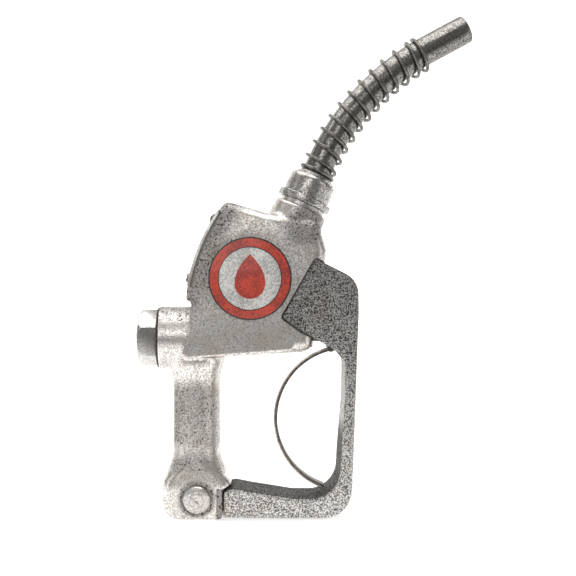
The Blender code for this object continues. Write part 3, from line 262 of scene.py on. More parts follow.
def dull_solid(name, colour, darker, size_mm, roughness, metallic=0.0):
    finish = Finish(name, roughness, metallic)
    mottle = finish.noise(size_mm, 4, 0.6)
    spread = finish.blend(mottle.step(0.35, 0.65), darker, colour)
    return finish.paint(spread, roughness + mottle * 0.12, mottle, 0.05)


plated = worn_steel("worn_nickel_plate", (0.37, 0.355, 0.33), (0.075, 0.07, 0.065), 1.5, 0.19, 0.14)
wire_steel = worn_steel("dark_wire_steel", (0.30, 0.28, 0.26), (0.08, 0.075, 0.07), 4, 0.27)
brass = dull_solid("turned_brass", (0.70, 0.53, 0.26), (0.45, 0.32, 0.14), 3, 0.3, 1.0)
rubber = dull_solid("black_rubber", (0.035, 0.035, 0.035), (0.02, 0.02, 0.02), 2, 0.7)
fibre = dull_solid("pressed_fibre", (0.10, 0.085, 0.07), (0.05, 0.04, 0.035), 0.8, 0.75)
paper = dull_solid("oiled_paper", (0.34, 0.32, 0.29), (0.20, 0.185, 0.165), 1.2, 0.7)
print("other finishes: plated, wire_steel, brass, rubber, fibre, paper")

# %% [markdown]
# ## Workshop helpers
#
# Most shapes come from four tools. `turned` is a lathe: a profile of radius and height is
# spun round an axis. `slab` is a cast plate whose side view is an outline and whose edges are
# rounded. `prism` is a plain cutter. `machine` cuts or joins two closed shapes with a Boolean.


# %% Lathe, slab, prism and Boolean
def placed(name, data):
    """A new object in the scene."""
    made = bpy.data.objects.new(name, data)
    bpy.context.scene.collection.objects.link(made)
    return made


def applied(target):
    """Makes what a piece's modifiers show into its mesh."""
    graph = bpy.context.evaluated_depsgraph_get()
    result = bpy.data.meshes.new_from_object(target.evaluated_get(graph))
    target.modifiers.clear()
    target.data = result
    return target


def new_piece(name, shape):
    """An object from a bmesh whose faces all point out."""
    bmesh.ops.recalc_face_normals(shape, faces=shape.faces)
    mesh = bpy.data.meshes.new(name)
    shape.to_mesh(mesh)
    shape.free()
    return placed(name, mesh)


def axis_frame(origin, direction, turn=0.0):
    """A matrix that stands the Z axis of a turned piece on an origin, along a direction."""
    swing = Vector(direction).to_track_quat("Z", "Y").to_matrix().to_4x4()
    return Matrix.Translation(origin) @ swing @ Matrix.Rotation(turn, 4, "Z")


def turned(name, profile, place, facets=96, smooth=30):
    """Spins (radius, height) points, in millimetres, round an axis. A profile that starts and ends on
    the axis makes a solid; any other is closed on itself and makes a ring."""
    shape = bmesh.new()
    rows = []
    for radius, height in profile:
        count = 1 if radius == 0 else facets
        row = []
        for i in range(count):
            angle = 2 * pi * i / facets
            point = Vector((radius * cos(angle), radius * sin(angle), height)) * MM
            row.append(shape.verts.new(place @ point))
        rows.append(row)
    pairs = list(zip(rows, rows[1:]))
    if profile[0][0] != 0:
        pairs.append((rows[-1], rows[0]))
    for low, high in pairs:
        for i in range(facets):
            j = (i + 1) % facets
            corners = [low[i % len(low)], low[j % len(low)], high[j % len(high)], high[i % len(high)]]
            unique = list(dict.fromkeys(corners))
            if len(unique) > 2:
                shape.faces.new(unique)
    made = new_piece(name, shape)
    made.data.shade_smooth()
    made.data.set_sharp_from_angle(angle=radians(smooth))
    return made


def soft_corners(profile, radius, steps=4):
    """Rounds the inner corners of a (radius, height) profile, as a turner breaks an edge."""
    points = [profile[0]]
    for before, here, after in zip(profile, profile[1:], profile[2:]):
        h = Vector(here)
        a, b = Vector(before) - h, Vector(after) - h
        if a.length == 0 or b.length == 0 or abs(a.normalized().dot(b.normalized())) > 0.985:
            points.append(here)
            continue
        reach = min(radius, a.length * 0.45, b.length * 0.45)
        p, q = h + a.normalized() * reach, h + b.normalized() * reach
        for i in range(steps + 1):
            t = i / steps
            spot = p * (1 - t) ** 2 + h * 2 * t * (1 - t) + q * t * t
            points.append((max(spot.x, 0.0), spot.y))
    return points + [profile[-1]]


def outline_of(corners, arc_step=radians(8)):
    """The outline through (x, z, radius) corners in millimetres, with an arc at each rounded corner."""
    outline = []
    for i, (x, z, radius) in enumerate(corners):
        here = Vector((x, z))
        if radius == 0:
            outline.append(here)
            continue
        before = (Vector(corners[i - 1][:2]) - here).normalized()
        after = (Vector(corners[(i + 1) % len(corners)][:2]) - here).normalized()
        half = acos(max(-1.0, min(1.0, before.dot(after)))) / 2
        centre = here + (before + after).normalized() * (radius / sin(half))
        start = here + before * (radius / tan(half)) - centre
        sweep = pi - 2 * half
        side = 1 if before.cross(after) < 0 else -1
        steps = max(3, ceil(sweep / arc_step))
        for step in range(steps + 1):
            outline.append(centre + Matrix.Rotation(side * sweep * step / steps, 2) @ start)
    return outline


def shrunk(corners, inset):
    """The same corners moved inwards. Convex radii lose the inset, and concave ones gain it."""
    points = [Vector(corner[:2]) for corner in corners]
    edges = [points[(i + 1) % len(points)] - p for i, p in enumerate(points)]
    side = 1 if sum(p.cross(p + e) for p, e in zip(points, edges)) > 0 else -1
    inward = [Vector((-edge.y, edge.x)).normalized() * side for edge in edges]
    moved = []
    for i, (x, z, radius) in enumerate(corners):
        before, after = inward[i - 1], inward[i]
        shift = (before + after) * (inset / (1 + before.dot(after)))
        if radius > 0:
            convex = edges[i - 1].cross(edges[i]) * side > 0
            radius = max(radius - inset, 0.1) if convex else radius + inset
        moved.append((x + shift.x, z + shift.y, radius))
    return moved


def skinned(name, outlines, capped=True):
    """A closed skin through outlines that have the same number of points. It has a cap at each end, or
    joins its last outline to its first."""
    shape = bmesh.new()
    rows = [[shape.verts.new(point) for point in outline] for outline in outlines]
    following = rows[1:] if capped else rows[1:] + rows[:1]
    if capped:
        shape.faces.new(rows[0])
        shape.faces.new(rows[-1])
    for first, second in zip(rows, following):
        for i in range(len(first)):
            j = (i + 1) % len(first)
            shape.faces.new((first[i], first[j], second[j], second[i]))
    return new_piece(name, shape)


def loft(name, sections):
    """A closed solid through (y, outline in X and Z) sections, in millimetres."""
    return skinned(name, [[Vector((p[0], y, p[1])) * MM for p in outline] for y, outline in sections])


def slab(name, corners, half_width, edge_radius, steps):
    """A cast slab, symmetric about Y = 0, with its edges rounded all the way round."""
    sections = []
    for step in range(steps + 1):
        angle = pi / 2 * step / steps
        inset = edge_radius * (1 - sin(angle))
        y = half_width - edge_radius * (1 - cos(angle))
        sections.append((y, outline_of(shrunk(corners, inset))))
    return loft(name, [(-y, o) for y, o in sections] + sections[::-1])


def prism(name, outline, low, high):
    """A straight-sided solid: an outline in X and Z drawn out along Y."""
    return loft(name, [(low, outline), (high, outline)])


def block(name, low, high):
    corners = [(low[0], low[2]), (high[0], low[2]), (high[0], high[2]), (low[0], high[2])]
    return prism(name, corners, low[1], high[1])


def machine(target, tool, operation="DIFFERENCE"):
    """One Boolean. The manifold solver is quick on dense castings, and both shapes are closed."""
    modifier = target.modifiers.new("machine", "BOOLEAN")
    modifier.operation, modifier.object, modifier.solver = operation, tool, "MANIFOLD"
    applied(target)
    bpy.data.objects.remove(tool, do_unlink=True)
    return target


def settle(target, modifiers):
    """Applies modifiers, given as (kind, settings) pairs, to a piece's mesh."""
    for kind, settings in modifiers:
        modifier = target.modifiers.new(kind, kind)
        for name, value in settings.items():
            setattr(modifier, name, value)
    return applied(target)


def poured(target, grain_mm, rounds):
    """Melts sharp joins between shapes into cast fillets: a voxel skin, then a few rounds of smoothing."""
    skin = ("REMESH", {"mode": "VOXEL", "voxel_size": grain_mm * MM, "use_smooth_shade": True})
    return settle(target, [skin, ("SMOOTH", {"factor": 0.5, "iterations": rounds})])


def finished(piece, body, finish, slot, *nodes, sharp=32):
    """Gives a piece its finish, its body and the CAD nodes it stands for."""
    piece.data.materials.clear()
    piece.data.materials.append(finish)
    piece.data.shade_smooth()
    piece.data.set_sharp_from_angle(angle=radians(sharp))
    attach(piece, body)
    if nodes:
        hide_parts(*nodes)
    print(f"{piece.name}: {len(piece.data.polygons)} faces, stands for {', '.join(nodes) or 'itself'}")
    return piece


print("helpers: turned, slab, prism, machine, poured")

# %% [markdown]
# ## Where things are
#
# The frame's origin is under the grip. The valve lies along X at one height, the lever's pin is above
# it on the right, and the neck leans out of the housing's top. These are the CAD's own numbers.

# %% Stations
VALVE_Z = 148.7
valve = axis_frame(Vector((0, 0, VALVE_Z)) * MM, (1, 0, 0))
LEAN = radians(66.0)
neck_way = Vector((cos(LEAN), 0, sin(LEAN)))
neck_face = Vector((87.7, 0, VALVE_Z + 109.3))
neck = axis_frame(neck_face * MM, neck_way)
upright = Matrix.Identity(4)
lever_pin_at = joint_at["lever_pivot"] / MM
BOLT = (1.5, 17.5)
HOUSING_HALF = 25.2
BARREL_SQUEEZE = Matrix.Diagonal((1, 0.94, 1, 1))
SCREW_HOLE_R, RIVET_HOLE_R = 2.3, 1.95


def across(x, z, turn=0.0):
    """A frame whose axis runs along +Y through a point of the side view, in millimetres."""
    return axis_frame(Vector((x, 0, z)) * MM, (0, 1, 0), turn)


def axis_up(*corners):
    """Corners whose heights are given above the valve's axis."""
    return [(x, VALVE_Z + z, radius) for x, z, radius in corners]


print("valve axis at", VALVE_Z, "mm, lever pin at", tuple(round(c, 1) for c in lever_pin_at))

# %% [markdown]
# ## The main casting
#
# The real body was one pour: barrel, housing, grip, foot and neck run into each other with soft
# fillets, and only the seats, bores and screw faces were machined. The same two steps are followed.
# Plain shapes are joined and melted into one skin, and the sharp cuts come after that.
#
# The housing is a rounded slab. The grip is turned, and flares at its top so that the melt has
# something to fillet with.

# %% Rough shapes of the casting
COVER_R, COVER_THICK, COVER_WIDE = 170.0, 3.0, 48.0
cover_low, cover_high = Vector((-6.8, 192.0)), Vector((18.3, 254.0))
chord = cover_high - cover_low
to_centre = Vector((chord.y, -chord.x)).normalized()
cover_centre = (cover_low + cover_high) / 2 + to_centre * sqrt(COVER_R**2 - (chord.length / 2) ** 2)
arc_low, arc_high = (
    atan2(p.y - cover_centre.y, p.x - cover_centre.x) % (2 * pi) for p in (cover_low, cover_high)
)


def back_arc(radius, inset=0.0, steps=20):
    """Points on the back cover's arc, at some radius, from its lower end to its upper end."""
    low, high = arc_low - inset / COVER_R, arc_high + inset / COVER_R
    angles = [low + (high - low) * i / steps for i in range(steps + 1)]
    return [(cover_centre.x + radius * cos(a), cover_centre.y + radius * sin(a)) for a in angles]


def arched(name, outer, inner, inset, half):
    """A plate bent to the cover's arc."""
    return prism(name, back_arc(outer, inset) + back_arc(inner, inset)[::-1], -half, half)


soft_side = axis_up(
    (24.8, 113.6, 6), (59.0, 104.0, 0), (105.2, 97.5, 8), (103.4, 87.5, 9), (108.6, 72.5, 9),
    (106.6, 61.0, 0), (100.5, 36.0, 0), (96.6, 14.0, 0), (96.2, -10.6, 9), (-9.0, -18.0, 9), (-2.4, 20.0, 0),
)
soft_side += [(x, z, 0) for x, z in back_arc(COVER_R, 3.5, 8)]
body = slab("body_casting", soft_side, HOUSING_HALF, 9.0, 7)
barrel = turned("barrel", [(0, -31), (25.9, -31), (25.9, 4), (0, 4)], valve)
barrel.data.transform(BARREL_SQUEEZE)
grip_profile = [
    (0, 20), (19.4, 20), (19.4, 110), (19.9, 115), (21.2, 120), (23.2, 125), (23.8, 129),
    (23.8, 142), (0, 142),
]
neck_profile = [(0, -30), (24, -26), (23.6, -14), (22.9, -8), (22.9, -1.6), (21.6, 0), (0, 0)]
print("housing:", len(body.data.polygons), "faces")

# %% [markdown]
# The foot is the one shape that neither a lathe nor a slab gives. It grows out of the round grip into
# a block with one big soft corner at the back and sharp corners where the guard meets it. So it is
# lofted upwards: each level is a box with rounded corners, and the corners open into the grip's
# circle on the way up.


# %% The foot, lofted into the grip
def foot_level(z, low_x, high_x, half_y, back_round, front_round, count=9):
    """One level of the foot, as points round a box whose back and front corners differ."""
    corners = [
        (low_x + back_round, -half_y + back_round, back_round, 180),
        (high_x - front_round, -half_y + front_round, front_round, 270),
        (high_x - front_round, half_y - front_round, front_round, 0),
        (low_x + back_round, half_y - back_round, back_round, 90),
    ]
    level = []
    for x, y, radius, start in corners:
        for i in range(count):
            angle = radians(start + 90 * i / (count - 1))
            level.append(Vector((x + radius * cos(angle), y + radius * sin(angle), z)) * MM)
    return level


foot = skinned(
    "foot",
    [
        foot_level(0, -18.5, 20.8, 20, 9, 2), foot_level(1.2, -21.8, 21.8, 21.8, 10, 2),
        foot_level(3.6, -24.6, 22.4, 22.6, 11, 2), foot_level(7.2, -26.8, 22.4, 23, 11, 2),
        foot_level(11, -27.8, 22.4, 23, 11, 2), foot_level(25, -27.8, 22.4, 23, 11, 2),
        foot_level(27, -27.8, 27, 23, 11, 4), foot_level(29, -27.6, 30.4, 22.8, 11, 7),
        foot_level(33, -26.8, 28.6, 22.4, 12, 10), foot_level(37, -25, 26, 21.9, 14, 14),
        foot_level(42, -22.2, 22.8, 21, 17, 16.5), foot_level(48, -20.3, 20.4, 19.9, 19, 19),
        foot_level(56, -19.4, 19.4, 19.4, 19.3, 19.3),
    ],
)
for rough in (barrel, turned("grip", grip_profile, upright), foot, turned("neck", neck_profile, neck)):
    machine(body, rough, "UNION")
print("rough casting:", len(body.data.polygons), "faces")

# %% [markdown]
# Melting turns the joined shapes into one skin and relaxes it. The housing's cheeks then get their
# raised faces. On the real casting each is a flat, proud panel with a tight edge, and its lower back
# corner laps over the round barrel. Last come the turned parts, added with crisp edges: the collar at
# the barrel's mouth and the stepped spigot that carries the spout.

# %% Melt, raise the panels, then add the turned parts
poured(body, 1.25, 8)
panel_side = [
    (27.0, 249.0, 8), (60.0, 240.5, 0), (84.0, 234.0, 8), (92.0, 216.0, 6), (90.0, 190.0, 0),
    (84.0, 150.0, 8), (80.0, 139.0, 4), (-12.6, 132.2, 5), (-3.4, 160.0, 7), (-3.0, 179.4, 3),
    (-7.4, 180.4, 3),
]
panel_side += [(x, z, 0) for x, z in back_arc(COVER_R - 0.6, -2.0, 8)]
machine(body, slab("panel", panel_side, HOUSING_HALF, 1.3, 4), "UNION")
poured(body, 0.95, 2)
collar_profile = [(20, -31), (25.7, -31), (26.2, -30.4), (26, -24), (20, -20)]
collar = turned("collar", soft_corners(collar_profile, 0.3), valve)
collar.data.transform(BARREL_SQUEEZE)
spigot = [(0, -6), (19.4, -6), (19.4, 3.4), (16.4, 3.4), (16.4, 17.0), (0, 17.0)]
machine(body, collar, "UNION")
machine(body, turned("spigot", spigot, neck), "UNION")
print("melted casting:", len(body.data.polygons), "faces")

# %% [markdown]
# ## Machining the casting
#
# The passages come first: a stepped bore for the main valve, the chamber behind it, and the neck's
# bore. Then the arched seat and window for the back cover, the pockets that take the guard's cheeks,
# the stem's gland, the slot for the guard's tongue, and the spot faces round the big bolt.

# %% Passages, seats and pockets
chamber = axis_up(
    (22.3, -9.8, 4), (22.3, 27.0, 3), (5.6, 33.0, 3), (9.2, 56.0, 0), (14.0, 79.5, 0), (26.0, 101.0, 4),
    (60.0, 93.5, 0), (97.0, 86.0, 4), (98.0, 75.0, 4), (64.8, 21.5, 4), (62.0, -8.6, 4),
)
passages = prism("passages", outline_of(chamber), -19, 19)
bore = [(0, -36), (19.3, -36), (19.3, 18.3), (15.5, 18.3), (15.5, 26), (0, 26)]
machine(passages, turned("bore", bore, valve), "UNION")
machine(passages, turned("neck_bore", [(0, -40), (12.2, -40), (12.2, 22), (0, 22)], neck), "UNION")
machine(body, passages)

SEAT_R = COVER_R - COVER_THICK - 1.6
machine(body, arched("seat", COVER_R + 6, SEAT_R, 0, 50))
machine(body, arched("window", COVER_R + 5, COVER_R - 22, 12, 12))


def cheek(grow):
    """The free edges of the guard's cheek, which the housing is cut to fit."""
    return axis_up(
        (98.3 + 0.2 * grow, 66.9 + grow, 3), (70.2 - grow, 17.2, 3.5), (86.9 - 0.2 * grow, 5.2 - grow, 0),
        (96.5, 1.2 - grow, 0), (110.6, -6.7 - grow, 0),
    )


pocket = outline_of(cheek(0.7) + axis_up((140, -7.5, 0), (140, 45, 0), (118, 56, 0)))
for side in (-1, 1):
    machine(body, prism("pocket", pocket, *sorted((side * 15.0, side * 40))))
machine(body, block("gland_face", (92, -16, VALVE_Z - 10), (120, 16, VALVE_Z + 10)))
machine(body, block("strap_relief", (80, -8, VALVE_Z - 20), (93, 8, VALVE_Z - 8.6)))
machine(body, turned("stem_hole", [(0, 55), (3.15, 55), (3.15, 80), (6.2, 80), (6.2, 97), (0, 97)], valve))
machine(body, block("foot_slot", (-12, -9.3, 4.5), (50, 9.3, 26.5)))
for y_low, y_high in ((-40, -21.3), (21.3, 40)):
    machine(body, block("rebate", (17.8, y_low, -2), (40, y_high, 25.8)))
spot = [(0, -40), (13, -40), (13, -22), (5.3, -22), (5.3, 22), (13, 22), (13, 40), (0, 40)]
machine(body, turned("spot_faces", spot, across(*BOLT)))
print("machined casting:", len(body.data.polygons), "faces")

# %% Screw holes
cover_screws = []
for arc in (arc_low - 7 / COVER_R, arc_high + 7 / COVER_R):
    out = Vector((cos(arc), 0, sin(arc)))
    foot_of_screw = Vector((cover_centre.x, 0, cover_centre.y)) + out * COVER_R
    cover_screws += [(foot_of_screw + Vector((0, side * 17, 0)), out) for side in (-1, 1)]
guard_screws = [(Vector((x, 18.8, z)), Vector((0, 1, 0))) for x, z in ((86.5, 172.7), (99.0, 202.7))]


def drill(target, places, radius, low, high):
    """Drills the same hole at each (point, direction), given in millimetres."""
    for at, out in places:
        hole = [(0, low), (radius, low), (radius, high), (0, high)]
        machine(target, turned("hole", hole, axis_frame(at * MM, out), 24))


drill(body, cover_screws, SCREW_HOLE_R, -9.2, 5)
drill(body, guard_screws, SCREW_HOLE_R, -12, 5)


def body_skin():
    finish = Finish("polished_body_casting", 0.26, 1.0)
    x, z = finish.part(0), finish.part(2)

    def away(at_x, at_z):
        """Distance in millimetres from a line through the casting, parallel to Y."""
        along, up = x - at_x, z - at_z
        return (along * along + up * up).sign("SQRT")

    # Painted shade below the neck, on the housing's upper right.
    shade_below_neck = (1 - away(90, 241).step(6, 27)) * 1.3
    # Painted shade along the housing's back, where its rounded edge turns into the cover.
    shade_beside_cover = away(cover_centre.x, cover_centre.y).step(146, 163)
    round_badge = (1 - away(45, 198.2).step(34, 43)) * 0.5
    # Painted shade, with grime, in the groove round the bolt head.
    bolt_groove_grime_and_shade = (1 - (away(*BOLT) - 13).sign("ABSOLUTE").step(0.5, 4)) * 1.1
    grip = z.step(50, 66) * (1 - z.step(100, 122)) * (0.62 + (1 - x.step(-18, -4)) * 0.4)
    foot_band = (1 - (z - 45).sign("ABSOLUTE").step(2, 10)) * 0.6
    # Painted shade, with grime, in the foot's rebate and on the foot's end face beside it.
    rebate = x.step(17.0, 18.2) * (1 - z.step(24, 27)) * 2
    high = z.step(150, 180)
    upper = (shade_beside_cover + round_badge + shade_below_neck) * high
    # The mask is grime on the grip, darker bands round the badge and the foot, and the painted shade above.
    # Noise breaks it into patches.
    dirt_and_shade = upper + (bolt_groove_grime_and_shade + grip + foot_band + rebate) * (1 - high)
    patchy_dirt_and_shade = (dirt_and_shade * (0.35 + finish.noise(9, 4, 0.6) * 1.3)).sign("MINIMUM", 1.0)
    return cast_skin(
        finish, (0.93, 0.90, 0.86), (0.41, 0.39, 0.365), (0.13, 0.12, 0.11), (1.35, 0.16, 0.3), 0.35,
        patchy_dirt_and_shade, 0.55,
    )


finished(body, "nozzle_body", body_skin(), "polished_casting", "body_casting")

# %% [markdown]
# ## The lever guard
#
# The guard is a separate casting in rougher metal. Its two cheeks clasp the housing's nose, a tongue
# runs into the foot, and a trough down its outer side saves weight. It was never polished, so its
# edges are soft and its skin is coarse. The lever's chamber was cast in and then cleaned up.

# %% The guard
guard_side = (
    [(23, 1.8, 0), (80, 1, 0), (128.4, 1, 24), (129.8, 40, 0)]
    + axis_up((134.6, 22, 0), (134.2, 48.5, 19), (106.9, 62.2, 0)) + cheek(0)
    + axis_up((118, -12.2, 0), (123.4, -18.6, 8), (123, -50, 0))
    + [(119.2, 52, 0), (117.6, 17.2, 24), (80, 17.6, 0), (46.6, 23, 0), (32, 25.8, 0), (23, 23.6, 0)]
)
guard = slab("guard", guard_side, 21.0, 1.8, 3)
poured(guard, 0.95, 3)
machine(guard, block("tongue", (-11, -9, 5), (30, 9, 26)), "UNION")
trough = outline_of(
    [(30, 5.5, 0), (114, 5.7, 22), (124.5, 34, 4)]
    + axis_up((128.5, -12, 4), (150, -12, 0)) + [(150, -20, 0), (30, -20, 0)]
)
machine(guard, prism("trough", trough, -12, 12))
lever_room = outline_of(
    axis_up(
        (60, -30, 0), (60, 20, 0), (95, 80, 0), (110.8, 80, 0), (110.8, 52.6, 2), (119.5, 47, 5),
        (127.4, 36, 6), (127.4, -8, 4), (121.8, -20, 0), (121.8, -30, 0),
    )
)
machine(guard, prism("lever_room", lever_room, -15.3, 15.3))
pin_frame = across(lever_pin_at.x, lever_pin_at.z)
bolt_hole = [(0, -40), (5.3, -40), (5.3, 40), (0, 40)]
pin_hole = [(0, -18.3), (4.15, -18.3), (4.15, 18.5), (7.3, 18.5), (7.3, 40), (0, 40)]
machine(guard, turned("bolt_hole", bolt_hole, across(*BOLT)))
machine(guard, turned("pin_hole", pin_hole, pin_frame))
drill(guard, guard_screws, SCREW_HOLE_R, -18, 20)
drill(guard, guard_screws, 4.1, 0, 20)
finished(guard, "nozzle_body", dark_cast, "rough_casting", "guard")

# %% [markdown]
# ## Fasteners set out by nodes
#
# Screws and rivets repeat, so each kind is made once. A small node tree takes points that carry the
# direction they face, stands a copy of the fastener on each, and makes the copies real. The same tree
# serves the cover's screws, the guard's screws and the strap's rivets.


# %% A tree that sets fasteners
def geometry_tree(name, inputs):
    """A node tree with named inputs, a helper that adds a node, and its output node."""
    tree = bpy.data.node_groups.new(name, "GeometryNodeTree")
    for label, kind, value in [("Geometry", "NodeSocketGeometry", None)] + inputs:
        socket = tree.interface.new_socket(label, in_out="INPUT", socket_type=kind)
        if value is not None:
            socket.default_value = value
    tree.interface.new_socket("Geometry", in_out="OUTPUT", socket_type="NodeSocketGeometry")
    entry, exit_node = tree.nodes.new("NodeGroupInput"), tree.nodes.new("NodeGroupOutput")

    def add(kind, values=None, **settings):
        made = tree.nodes.new(kind)
        for key, value in settings.items():
            setattr(made, key, value)
        for key, value in (values or {}).items():
            if isinstance(value, bpy.types.NodeSocket):
                tree.links.new(value, made.inputs[key])
            else:
                made.inputs[key].default_value = value
        return made

    return tree, entry.outputs, add, lambda socket: tree.links.new(socket, exit_node.inputs[0])


def grown(target, tree, **values):
    """Runs a node tree on a piece and keeps the plain mesh that comes out."""
    modifier = target.modifiers.new("grow", "NODES")
    modifier.node_group = tree
    for item in tree.interface.items_tree:
        if item.item_type == "SOCKET" and item.in_out == "INPUT" and item.name in values:
            modifier[item.identifier] = values[item.name]
    return applied(target)


set_tree, take, add, end = geometry_tree(
    "set_fasteners",
    [
        ("Fastener", "NodeSocketObject", None), ("Finish", "NodeSocketMaterial", None),
        ("Turn", "NodeSocketFloat", 0.4),
    ],
)
facing = add("GeometryNodeInputNamedAttribute", {"Name": "facing"}, data_type="FLOAT_VECTOR")
aim = add("FunctionNodeAlignRotationToVector", {"Vector": facing.outputs["Attribute"]}, axis="Z")
order = add("GeometryNodeInputIndex")
swing = add("ShaderNodeMath", {0: order.outputs[0], 1: take["Turn"]}, operation="MULTIPLY")
local = add("FunctionNodeAxisAngleToRotation", {"Axis": (0, 0, 1), "Angle": swing.outputs[0]})
turn = add("FunctionNodeRotateRotation", {"Rotation": aim.outputs[0], "Rotate By": local.outputs[0]})
turn.rotation_space = "LOCAL"
source = add("GeometryNodeObjectInfo", {"Object": take["Fastener"], "As Instance": True})
copies = add(
    "GeometryNodeInstanceOnPoints",
    {"Points": take["Geometry"], "Instance": source.outputs["Geometry"], "Rotation": turn.outputs[0]},
)
real = add("GeometryNodeRealizeInstances", {"Geometry": copies.outputs[0]})
dressed = add("GeometryNodeSetMaterial", {"Geometry": real.outputs[0], "Material": take["Finish"]})
end(dressed.outputs[0])


def set_fasteners(name, pattern, places, finish, turn_each=0.7):
    """Stands copies of one fastener on (point, direction) places, in millimetres."""
    mesh = bpy.data.meshes.new(name)
    mesh.from_pydata([tuple(at * MM) for at, _ in places], [], [])
    way = mesh.attributes.new("facing", "FLOAT_VECTOR", "POINT")
    for i, (_, out) in enumerate(places):
        way.data[i].vector = out
    holder = placed(name, mesh)
    grown(holder, set_tree, Fastener=pattern, Finish=finish, Turn=turn_each)
    bpy.data.objects.remove(pattern, do_unlink=True)
    return holder


print("fastener tree:", len(set_tree.nodes), "nodes")

# %% [markdown]
# ## The back cover
#
# A thin arched plate closes the window in the housing's back over a paper gasket. From the side it
# shows as one bright line. Its edges are broken so that they catch light. Four slotted screws hold
# it, and each slot stops at its own angle because nobody lines screws up.


# %% Cover, gasket and screws
def slotted(name, grip, shank=2.0, head=3.8, tall=2.2):
    """A pan-head screw with a slot, standing on the plane its head rests on."""
    profile = [
        (0, -grip), (shank - 0.5, -grip), (shank, -grip + 0.6), (shank, 0.3), (head, 0.3),
        (head, tall * 0.5), (head * 0.93, tall * 0.72), (head * 0.72, tall * 0.93), (head * 0.4, tall),
        (0, tall),
    ]
    screw = turned(name, profile, upright, 40)
    machine(screw, block("slot", (-0.5, -6, tall - 1), (0.5, 6, 6)))
    screw.data.shade_smooth()
    screw.data.set_sharp_from_angle(angle=radians(35))
    return screw


cover = arched("back_cover", COVER_R, COVER_R - COVER_THICK, 0.3, COVER_WIDE / 2)
settle(cover, [("BEVEL", {"width": 0.6 * MM, "segments": 3, "angle_limit": radians(40)})])
gasket_r = COVER_R - COVER_THICK - 0.3
gasket = arched("cover_gasket", gasket_r, gasket_r - 1, 0.4, COVER_WIDE / 2 - 0.2)
machine(gasket, arched("opening", gasket_r + 3, gasket_r - 4, 12, 12))
drill(cover, cover_screws, SCREW_HOLE_R, -20, 5)
drill(gasket, cover_screws, SCREW_HOLE_R, -20, 5)
finished(cover, "nozzle_body", polished, "polished_casting", "back_cover")
finished(gasket, "nozzle_body", paper, "fibre", "cover_gasket")
screws = set_fasteners("cover_screws", slotted("screw", 8.6), cover_screws, wire_steel)
names = [f"cover_screw_{i}" for i in range(1, 5)]
finished(screws, "nozzle_body", wire_steel, "dark_steel", *names)
screws = set_fasteners("guard_screws", slotted("screw", 10.8), guard_screws, wire_steel, 1.9)
finished(screws, "nozzle_body", wire_steel, "dark_steel", "guard_screw_1", "guard_screw_2")

# %% [markdown]
# ## The hose inlet
#
# The hexagon takes a spanner when the hose is fitted. Its outer end is chamfered by turning, which
# leaves the curved bite on each flat that every real hexagon has. That bite is made the same way
# here: a hexagonal bar is intersected with a turned shape.

# %% Hexagon fitting, gasket and hose bore
hex_frame = axis_frame(Vector((0, 0, VALVE_Z)) * MM, (1, 0, 0), radians(36.5))


def hexagon(name, corners, low, high, place, chamfer_low, chamfer_high):
    """A hexagonal bar whose ends are chamfered by turning."""
    r = corners / 2
    bar = turned(name, [(0, low), (r, low), (r, high), (0, high)], place, 6, 10)
    turning = [
        (0, low), (r - chamfer_low, low), (r - chamfer_low * 0.35, low + chamfer_low * 0.4),
        (r + 0.3, low + chamfer_low), (r + 0.3, high - chamfer_high), (r - chamfer_high, high), (0, high),
    ]
    return machine(bar, turned("turning", turning, place, 120), "INTERSECT")


inlet = hexagon("inlet_fitting", 47.8, -48.6, -32.6, hex_frame, 4.4, 0.4)
machine(inlet, turned("shank", [(0, -34), (19.0, -34), (19.0, -16.6), (0, -16.6)], hex_frame), "UNION")
THREAD_TURNS, THREAD_PITCH = 8, 2.2
hose_bore = [(0, -50), (16.6, -50), (15.4, -47.4)]
for turn_of_thread in range(THREAD_TURNS):
    z = -47.2 + turn_of_thread * THREAD_PITCH
    hose_bore += [(15.0, z), (15.9, z + THREAD_PITCH / 2)]
hose_bore += [(15.0, -29.4), (15.0, -28.6), (11, -28.6), (11, -10), (0, -10)]
machine(inlet, turned("hose_bore", hose_bore, hex_frame, 72))
settle(inlet, [("BEVEL", {"width": 0.35 * MM, "segments": 2, "angle_limit": radians(38)})])
finished(inlet, "nozzle_body", machined, "polished_casting", "inlet_fitting", sharp=26)
seal = [(19.3, -32.3), (25.2, -32.3), (25.2, -31.3), (19.3, -31.3)]
gasket = turned("inlet_gasket", seal, hex_frame)
finished(gasket, "nozzle_body", fibre, "fibre", "inlet_gasket")

# %% [markdown]
# ## The guard bolt
#
# One big flat-headed bolt clamps the guard's tongue in the foot. Its face was turned, so it keeps a
# faint ring, and a small dimple is left where the lathe's centre held it.

# %% Bolt and nut
bolt_profile = [
    (0, -25.9), (1.0, -26.1), (1.6, -26.3), (5.4, -26.3), (5.8, -26.15), (6.2, -26.3), (9.0, -26.1),
    (10.2, -25.7), (10.9, -25.0), (11.2, -24.2), (11.2, -22.3), (5, -22.3), (5, 31), (4, 32), (0, 32),
]
bolt = turned("guard_bolt", bolt_profile, across(*BOLT), 96, 24)
finished(bolt, "nozzle_body", polished, "polished_casting", "guard_bolt", sharp=24)
nut_place = across(*BOLT, radians(15))
nut = hexagon("guard_nut", 19.6, 22.3, 30.3, nut_place, 1.3, 1.3)
machine(nut, turned("hole", [(0, 20), (5.15, 20), (5.15, 33), (0, 33)], nut_place, 48))
finished(nut, "nozzle_body", plated, "polished_casting", "guard_nut", sharp=26)

# %% [markdown]
# ## The badge
#
# A printed disc sits on the housing's cheek. The design here is a plain fuel drop inside a ring, and
# it marks nobody's product. It is painted by arithmetic on the distance from the disc's centre: a thin
# dark line, a broad red ring, another thin line, and a pale field. The drop is a circle whose upper
# half narrows to a point. Noise at the edges wears the print.

